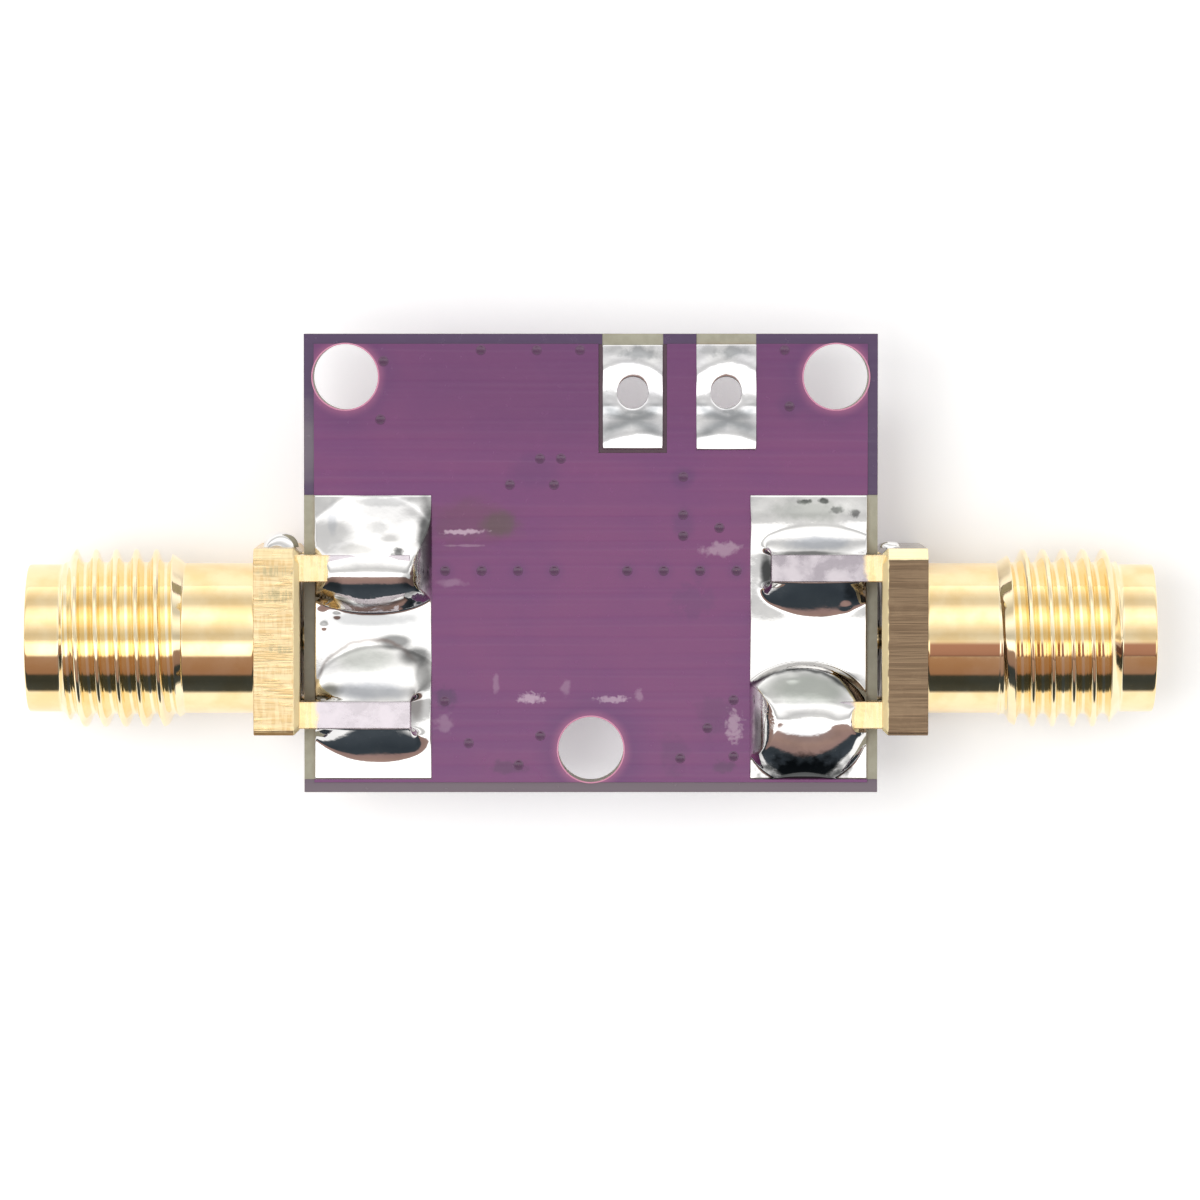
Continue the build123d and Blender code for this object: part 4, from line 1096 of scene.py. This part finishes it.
def tinLook():
    look = Look("dippedTin").set(Metallic=1.0)
    cloud = look.use(scaledNoise, Cycles=(0.9, 0.9, 0.9), Detail=3.0)
    tone = look.mixColours(cloud, tin["bright"], tin["soft"])
    for word, drift in (("plus", -0.05), ("minus", 0.05)):
        centreX, top = wirePads[word + "X"], wirePads[word + "Span"][1]
        cross = look.use(crossMask, Centre=(centreX + drift, wirePads["holeY"] + tin["crossCentre"], backTop),
                         Slope=tin["crossSlope"], Width=tin["crossWidth"])
        half = wirePads["width"] / 2 + 0.05
        here = look.use(boxMask, Centre=(centreX, 5.8, backTop), Half=(half, 2.2, 0.3), Softness=0.02)
        tone = look.mark(tone, look.math("MULTIPLY", cross, here), 0.8, tin["dull"])
        for (x, y), (rx, ry), strength in tin["smudges"]:
            spot = look.use(spotMask, Centre=(centreX + x, top + y, backTop), Radii=(rx, ry, 0.4), Ragged=1.3,
                            Grain=3.0)
            tone = look.mark(tone, spot, strength, tin["dull"])
    look.feed("Base Color", tone)
    look.feed("Roughness", look.mixValues(cloud, 0.07, 0.16))
    look.bump(look.use(scaledNoise, Cycles=(1.2, 1.2, 1.2), Detail=3.0), 0.004)
    return look.material


def tinHeight(x, y, low, high, skew):
    # x and y from the hole's middle: tin heaped in an arch above it and in a low ridge at the pad's foot
    rim = np.maximum(np.hypot(x, y) - wirePads["holeRadius"], 0)
    bend = 0.10 * skew * x
    arch = tin["archRise"] * np.exp(-((y - tin["archTop"] + 0.35 * x * x + bend) / tin["archWidth"]) ** 2)
    foot = tin["footRise"] * np.exp(-((y - tin["footTop"] + 0.18 * x * x - bend) / tin["footWidth"]) ** 2)
    cheekX, cheekRise, cheekReach = tin["cheek"]
    cheeks = 0
    for end in (-1, 1):
        away = np.hypot(x - end * cheekX, (y + 0.45) * 1.6)
        cheeks = cheeks + cheekRise * np.exp(-(away / cheekReach) ** 2)
    fall = tin["lip"] * np.exp(-rim / 0.05)
    wave = 0.005 * np.sin(3.1 * x + 1.9 * skew) * np.sin(2.9 * y + skew)
    sides = np.minimum(wirePads["width"] / 2 - np.abs(x), np.minimum(y - low, high - y))
    height = tin["film"] + tin["edge"] + arch + foot + cheeks + wave - fall
    cap = tin["film"] + 2.5 * np.maximum(sides, 0) ** 0.75
    return softMin(height, cap, 0.008)


def makeTerminal(word, insulated, material):
    centreX, halfX = wirePads[word + "X"], wirePads["width"] / 2
    y0, y1 = wirePads[word + "Span"]
    holeY, holeR = wirePads["holeY"], wirePads["holeRadius"]
    edge = np.linspace(0, 4, tin["rays"] + 1)[:-1]
    u = edge % 1 * 2 - 1
    lap = edge.astype(int)
    bx = np.select([lap == 0, lap == 1, lap == 2, lap == 3], [u, 1, -u, -1]) * halfX
    by = np.select([lap == 0, lap == 1, lap == 2, lap == 3], [-1, u, 1, -u]) * (y1 - y0) / 2
    by = by + (y0 + y1) / 2 - holeY
    far = np.hypot(bx, by)
    hx, hy = bx / far * holeR, by / far * holeR
    skew = 1 if insulated else -0.6
    rings = []
    steps = np.concatenate([np.linspace(0, 0.12, 6), np.linspace(0.145, 1.0, 40)])
    for direction, seatInner, seatLaminate in ((1, backFoil, laminateTop),
                                               (-1, frontFoil, board["laminateLow"])):
        seat = seatLaminate if insulated else seatInner
        layer = [(bx, by, np.full(bx.shape, seat))]
        for share in steps[::-1]:
            x, y = hx + (bx - hx) * share, hy + (by - hy) * share
            layer.append((x, y, seatInner + direction * tinHeight(x, y, y0 - holeY, y1 - holeY,
                                                                  skew * direction)))
        rings.append(layer)
    wall = ((0.985, backFoil - 0.05), (0.98, 4.9), (0.98, 4.1), (0.985, frontFoil + 0.05))
    middle = [(hx * s, hy * s, np.full(hx.shape, z)) for s, z in wall]
    order = rings[0] + middle + rings[1][::-1]
    points = np.concatenate([np.stack([centreX + x, holeY + y, z], axis=1) for x, y, z in order])
    piece = buildMesh(word + "Pad", points, gridFaces(len(order), tin["rays"], wrap=True))
    return finishPiece(piece, material, "tin", word + "_terminal")


tinMaterial = tinLook()
for word, insulated in (("plus", True), ("minus", False)):
    makeTerminal(word, insulated, tinMaterial)
print("stage: wire pads made")

# parts on the component side: size along, across and away from the board, and length of each metal end
smallParts = {
    "blockingCapacitor": {"node": "blocking_capacitor", "size": (1.6, 0.8, 0.8), "end": 0.36,
                          "centre": (-2.4, -2.7), "upright": False},
    "bypassSmall": {"node": "bypass_capacitor_small", "size": (1.0, 0.5, 0.5), "end": 0.24,
                    "centre": (-0.85, 3.09), "upright": False},
    "bypassLarge": {"node": "bypass_capacitor_large", "size": (1.6, 0.8, 0.8), "end": 0.36,
                    "centre": (2.43, 2.42), "upright": False},
    "rfChoke": {"node": "rf_choke", "size": (2.0, 1.25, 1.1), "end": 0.45, "centre": (0.0, -1.35),
                "upright": True, "turns": 13, "wire": 0.075},
    "bulkChoke": {"node": "bulk_choke", "size": (2.0, 1.6, 1.6), "end": 0.45, "centre": (0.5, 1.51),
                  "upright": True, "turns": 14, "wire": 0.07},
}
partStandoff = 0.05
filletLength, filletLap = 0.28, 0.02


def onFront(part):
    cx, cy = part["centre"]
    if part["upright"]:
        return lambda x, y, z: (cx - y, cy + x, frontFoil - z)
    return lambda x, y, z: (cx + x, cy + y, frontFoil - z)


def blockPiece(name, place, box, rounding, material, slotName, *nodes):
    points, faces = blockPoints(*box)
    piece = buildMesh(name, [place(*p) for p in points], faces, smooth=False)
    roundEdges(piece, rounding, 3)
    return finishPiece(piece, material, slotName, *nodes)


def ceramicLook(name, first, second):
    return plainLook(name, 7.0, 4.0, first, second, (0.38, 0.55), 0.004, {"IOR": 1.6})


capacitorMaterial = ceramicLook("capacitorCeramic", (0.36, 0.24, 0.15, 1), (0.27, 0.17, 0.10, 1))
bobbinMaterial = ceramicLook("bobbinCeramic", (0.72, 0.70, 0.64, 1), (0.6, 0.58, 0.52, 1))
ferriteMaterial = ceramicLook("ferriteBobbin", (0.055, 0.055, 0.06, 1), (0.085, 0.083, 0.085, 1))
endMaterial = plainLook("tinnedEnd", 8.0, 4.0, (0.72, 0.71, 0.7, 1), (0.55, 0.54, 0.54, 1), (0.3, 0.48),
                        0.006, {"Metallic": 1.0})
wireMaterial = plainLook("enamelledWire", 3.0, 3.0, (0.72, 0.25, 0.09, 1), (0.5, 0.14, 0.05, 1), (0.2, 0.32),
                         settings={"Metallic": 0.85, "Coat_Weight": 0.5, "Coat_Roughness": 0.08})


def makeCapacitor(name, part):
    place = onFront(part)
    length, width, height = part["size"]
    low, half = partStandoff, length / 2
    inset, inner = 0.015, half - part["end"] * 0.6
    block = (-inner, inner, -width / 2 + inset, width / 2 - inset, low + inset, low + height - inset)
    blockPiece(name, place, block, 0.03, capacitorMaterial, "capacitor_ceramic", part["node"])
    for word, end in (("Near", -1), ("Far", 1)):
        x = sorted((end * half, end * (half - part["end"])))
        blockPiece(name + word + "End", place, (x[0], x[1], -width / 2, width / 2, low, low + height), 0.055,
                   endMaterial, "tinned_end", part["node"] + "_ends")


def makeChoke(name, part, cheekMaterial, slotName):
    place = onFront(part)
    length, width, height = part["size"]
    foot = 0.06  # thickness of each tinned foot
    base = partStandoff + foot
    tall = height - foot
    middle = base + tall / 2
    thinner = min(width, tall)
    spindle, wound = thinner * 0.45, thinner * 0.84 / 2
    gap = length - 2 * part["end"]
    reach, thick = gap / 2 + 0.1, spindle / 2
    core = (-reach, reach, -thick, thick, middle - thick, middle + thick)
    blockPiece(name + "Core", place, core, 0.05, cheekMaterial, slotName, part["node"] + "_bobbin")
    for word, end in (("Near", -1), ("Far", 1)):
        x = sorted((end * length / 2, end * gap / 2))
        blockPiece(name + word + "Cheek", place, (x[0], x[1], -width / 2, width / 2, base, base + tall), 0.06,
                   cheekMaterial, slotName, part["node"] + "_bobbin")
        tinned = (x[0] + 0.01, x[1] - 0.01, -width / 2 + 0.01, width / 2 - 0.01, partStandoff, base + 0.03)
        blockPiece(name + word + "Foot", place, tinned, 0.02, endMaterial, "tinned_end",
                   part["node"] + "_feet")
    wire = part["wire"]
    path = []
    count = part["turns"] * 24
    travel = gap - wire * 1.3
    radius = wound - wire / 2
    for k in range(count + 1):
        turn = 2 * math.pi * part["turns"] * k / count
        path.append((-travel / 2 + travel * k / count, radius * math.sin(turn),
                     middle + radius * math.cos(turn)))
    outer = (gap / 2 + 0.12, 0.2 * width, base + tall * 0.03)
    inner = (gap / 2 - 0.02, 0.12 * width, base + tall * 0.06)
    lead = [(-x, y, z) for x, y, z in (outer, inner)]
    tail = [(x, -y, z) for x, y, z in (inner, outer)]
    path = lead + path[12:-12] + tail
    curve = bpy.data.curves.new(name + "Winding", "CURVE")
    curve.dimensions = "3D"
    curve.bevel_depth = wire / 2 * mm
    curve.bevel_resolution = 3
    spline = curve.splines.new("POLY")
    spline.points.add(len(path) - 1)
    for point, p in zip(spline.points, path):
        x, y, z = place(*p)
        point.co = (x * mm, y * mm, z * mm, 1)
    finishPiece(addObject(name + "Winding", curve), wireMaterial, "enamelled_wire", part["node"] + "_winding")


def makePartSolder(name, part):
    # hollow fillets that climb the metal end and run out on the pad
    place = onFront(part)
    length, width, height = part["size"]
    rise = partStandoff + min(height * 0.6, 0.48)
    for word, end in (("Near", -1), ("Far", 1)):
        columns, rows = 15, 13
        top, seat = [], []
        for i in range(rows):
            t = i / (rows - 1)
            x = length / 2 - filletLap + (filletLength + filletLap) * t
            for j in range(columns):
                s = j / (columns - 1) * 2 - 1
                slim = (1 - abs(s) ** 4) ** 0.5
                z = rise * slim * (1 - t) ** 2.1
                top.append(place(end * x, end * s * width / 2, z))
                seat.append(place(end * x, end * s * width / 2, 0.0))
        first = len(top)
        faces = [tuple(reversed(f)) for f in gridFaces(rows, columns)]
        faces += [tuple(first + k for k in f) for f in gridFaces(rows, columns)]
        faces += [(j, j + 1, first + j + 1, first + j) for j in range(columns - 1)]
        finishPiece(buildMesh(name + word + "Joint", top + seat, faces), solderMaterial, "solder",
                    "chip_solder")
        x = sorted((end * (length / 2 - part["end"]), end * (length / 2 + 0.01)))
        film = (x[0], x[1], -width / 2 + 0.01, width / 2 - 0.01, 0.0, partStandoff + 0.01)
        blockPiece(name + word + "Film", place, film, 0.01, solderMaterial, "solder", "chip_solder")


for name, part in smallParts.items():
    if "turns" in part:
        makeChoke(name, part, bobbinMaterial if name == "rfChoke" else ferriteMaterial,
                  "bobbin_ceramic" if name == "rfChoke" else "ferrite")
    else:
        makeCapacitor(name, part)
    makePartSolder(name, part)
print("stage: component side made")

# solder that ran over the upper side of each flange: how far out along it, height above the floor and size
edgeBeads = {
    -1: {"out": 0.74, "level": 4.7, "radius": 0.42, "stretch": 1.4, "bulge": 0.52, "phase": 0.4},
    1: {"out": 0.33, "level": 5.2, "radius": 0.32, "stretch": 1.0, "bulge": 0.22, "phase": 2.1},
}
upperSide = jack["axisY"] + jack["flangeSide"] / 2
for side, bead in edgeBeads.items():
    rings, around = 12, 32  # from foot to tip, and round
    middleX, phase = side * (jack["back"] + bead["out"]), bead["phase"]
    points = []
    for i in range(rings + 1):
        lift = math.radians(90 * i / rings)
        for k in range(around):
            a = 2 * math.pi * k / around
            lobes = 1 + 0.09 * math.sin(2 * a + phase) + 0.07 * math.sin(3 * a + 2 * phase + 2 * lift)
            r = bead["radius"] * math.cos(lift) ** 0.8 * lobes if i < rings else 0.0005
            points.append((middleX + bead["stretch"] * r * math.cos(a),
                           upperSide + bead["bulge"] * math.sin(lift), bead["level"] + r * math.sin(a)))
    faces = [tuple(reversed(f)) for f in gridFaces(rings + 1, around, wrap=True)]
    finishPiece(buildMesh(sideWords[side] + "EdgeBead", points, faces), solderMaterial, "solder",
                sideWords[side] + "_edge_bead")

# insulator and spring contact keep their own solids
ptfe = Look("fluoropolymer").set(IOR=1.35, Roughness=0.42, Subsurface_Weight=0.15)
ptfeTone = ptfe.use(scaledNoise, Cycles=(1.5, 1.5, 1.5), Detail=3.0)
ptfe.feed("Base Color", ptfe.mixColours(ptfeTone, (0.86, 0.85, 0.82, 1), (0.8, 0.79, 0.76, 1)))
ptfe.bump(ptfe.use(turnedLines, Lines=10.0, Chatter=0.2), 0.003)
contactMaterial = plainLook("goldContact", 2.5, 3.0, gold["colour"], gold["deep"], (0.14, 0.22),
                            settings={"Metallic": 1.0})
for word in sideWords.values():
    paint(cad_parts[word + "_jack_insulator"].data, ptfe.material)
    paint(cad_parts[word + "_jack_contact"].data, contactMaterial)
print("stage: insulators and contacts finished")

# floor, light and camera
studio = {
    "keyPlace": (-170, 15, 430), "keySize": 230, "keyPower": 0.70, "diffuseLevel": 0.74,
    "cameraPlace": (-0.03, 8.64, 237.56), "lookAt": (0.32, -1.28, 5.27), "lens": 200.0, "sensor": 36.0,
    # what polished metal sees, by direction in degrees from straight up: towards the wire pads is positive
    "bands": [(-180, 1.0), (-112, 1.0), (-104, 0.95), (-96, 0.82), (-90, 0.72), (-86, (0.066, 0.08, 0.095)),
              (-68, (0.041, 0.052, 0.064)), (-58, (0.046, 0.057, 0.067)),
              (-54, (0.34, 0.22, 0.20)), (-40, (0.38, 0.25, 0.21)), (-27, (0.42, 0.29, 0.26)), (-23, 1.7),
              (-16, 1.9), (-8, 2.0),
              (0, 0.83), (8, 0.72), (16, 0.92), (24, 1.25), (36, 1.7), (48, 1.3), (56, 0.83), (64, 0.78),
              (72, 0.95), (80, 1.2), (88, 1.5), (96, 1.25), (112, 1.08), (120, 1.0), (180, 1.0)],
    "farEnds": (0.5, 0.95, 0.8), "floorBoost": 0.22,
    "floorTone": (0.96, 0.96, 0.96, 1), "floorHalf": 1500.0, "floorLevel": -0.02, "keyTarget": (0, 0, 3),
}
plainWhite = (1, 1, 1, 1)


def fillRamp(ramp, bands):
    # stops hold half the level, so that none goes over 1
    elements = ramp.color_ramp.elements
    while len(elements) > 1:
        elements.remove(elements[-1])
    for index, (angle, level) in enumerate(bands):
        tone = level if isinstance(level, tuple) else (level, level, level)
        element = elements[0] if index == 0 else elements.new((angle + 180) / 360)
        element.position = (angle + 180) / 360
        element.color = (tone[0] / 2, tone[1] / 2, tone[2] / 2, 1)


def makeWorld():
    world = bpy.data.worlds.new("studio")
    bpy.context.scene.world = world
    world.use_nodes = True
    sky = Wiring(world.node_tree)
    sky.nodes.clear()
    direction = sky.split(sky.add("ShaderNodeTexCoord")["Generated"])
    angle = sky.math("ARCTAN2", direction[1], direction[2])
    bands = sky.nodes.new("ShaderNodeValToRGB")
    fillRamp(bands, studio["bands"])
    sky.links.new(sky.ramp(angle, -math.pi, math.pi, kind="LINEAR"), bands.inputs[0])
    near, far, farLevel = studio["farEnds"]
    ends = sky.ramp(sky.math("ABSOLUTE", direction[0]), near, far, 1.0, farLevel, kind="LINEAR")

    def level(colour, strength):
        return sky.add("ShaderNodeBackground", i0=colour, i1=strength)[0]

    path = sky.add("ShaderNodeLightPath")
    mirrored = sky.math("MAXIMUM", path["Is Glossy Ray"], path["Is Transmission Ray"])
    lit = sky.add("ShaderNodeMixShader", i0=mirrored, i1=level(plainWhite, studio["diffuseLevel"]),
                  i2=level(sky.scaled(bands.outputs[0], ends), 2.0))[0]
    seen = sky.add("ShaderNodeMixShader", i0=path["Is Camera Ray"], i1=lit, i2=level(plainWhite, 1.0))[0]
    sky.add("ShaderNodeOutputWorld", i0=seen)


def makeFloor():
    half, level = studio["floorHalf"], studio["floorLevel"]
    points = [(x * half, y * half, level) for x, y in ((-1, -1), (1, -1), (1, 1), (-1, 1))]
    floor = buildMesh("floor", points, [(0, 1, 2, 3)], smooth=False)
    look = Look("paleFloor").set(Base_Color=studio["floorTone"], Roughness=0.9, Specular_IOR_Level=0.0,
                                 Emission_Color=plainWhite)
    path = look.add("ShaderNodeLightPath")
    mirrored = look.math("MAXIMUM", path["Is Glossy Ray"], path["Is Transmission Ray"])
    seen = look.math("MAXIMUM", path["Is Camera Ray"], mirrored)
    look.feed("Emission Strength", look.math("MULTIPLY", seen, studio["floorBoost"]))
    floor.data.materials.append(look.material)


def aim(item, place, target):
    item.location = Vector(place) * mm
    direction = (Vector(target) - Vector(place)).normalized()
    right = direction.cross(Vector((0, 1, 0))).normalized()
    trueUp = right.cross(direction)
    item.rotation_euler = Matrix((right, trueUp, -direction)).transposed().to_euler()


makeWorld()
makeFloor()
keyData = bpy.data.lights.new("keyLamp", "AREA")
keyData.shape = "SQUARE"
keyData.size = studio["keySize"] * mm
keyData.energy = studio["keyPower"]
keyLamp = addObject("keyLamp", keyData)
aim(keyLamp, studio["keyPlace"], studio["keyTarget"])
keyLamp.visible_glossy = False
cameraData = bpy.data.cameras.new("camera")
cameraData.lens = studio["lens"]
cameraData.sensor_width = studio["sensor"]
cameraData.clip_start = 0.01
cameraData.clip_end = 20.0
camera = addObject("camera", cameraData)
aim(camera, studio["cameraPlace"], studio["lookAt"])
bpy.context.scene.camera = camera
bpy.context.scene.view_settings.view_transform = "Standard"
print("stage: studio made")

bpy.context.view_layer.update()
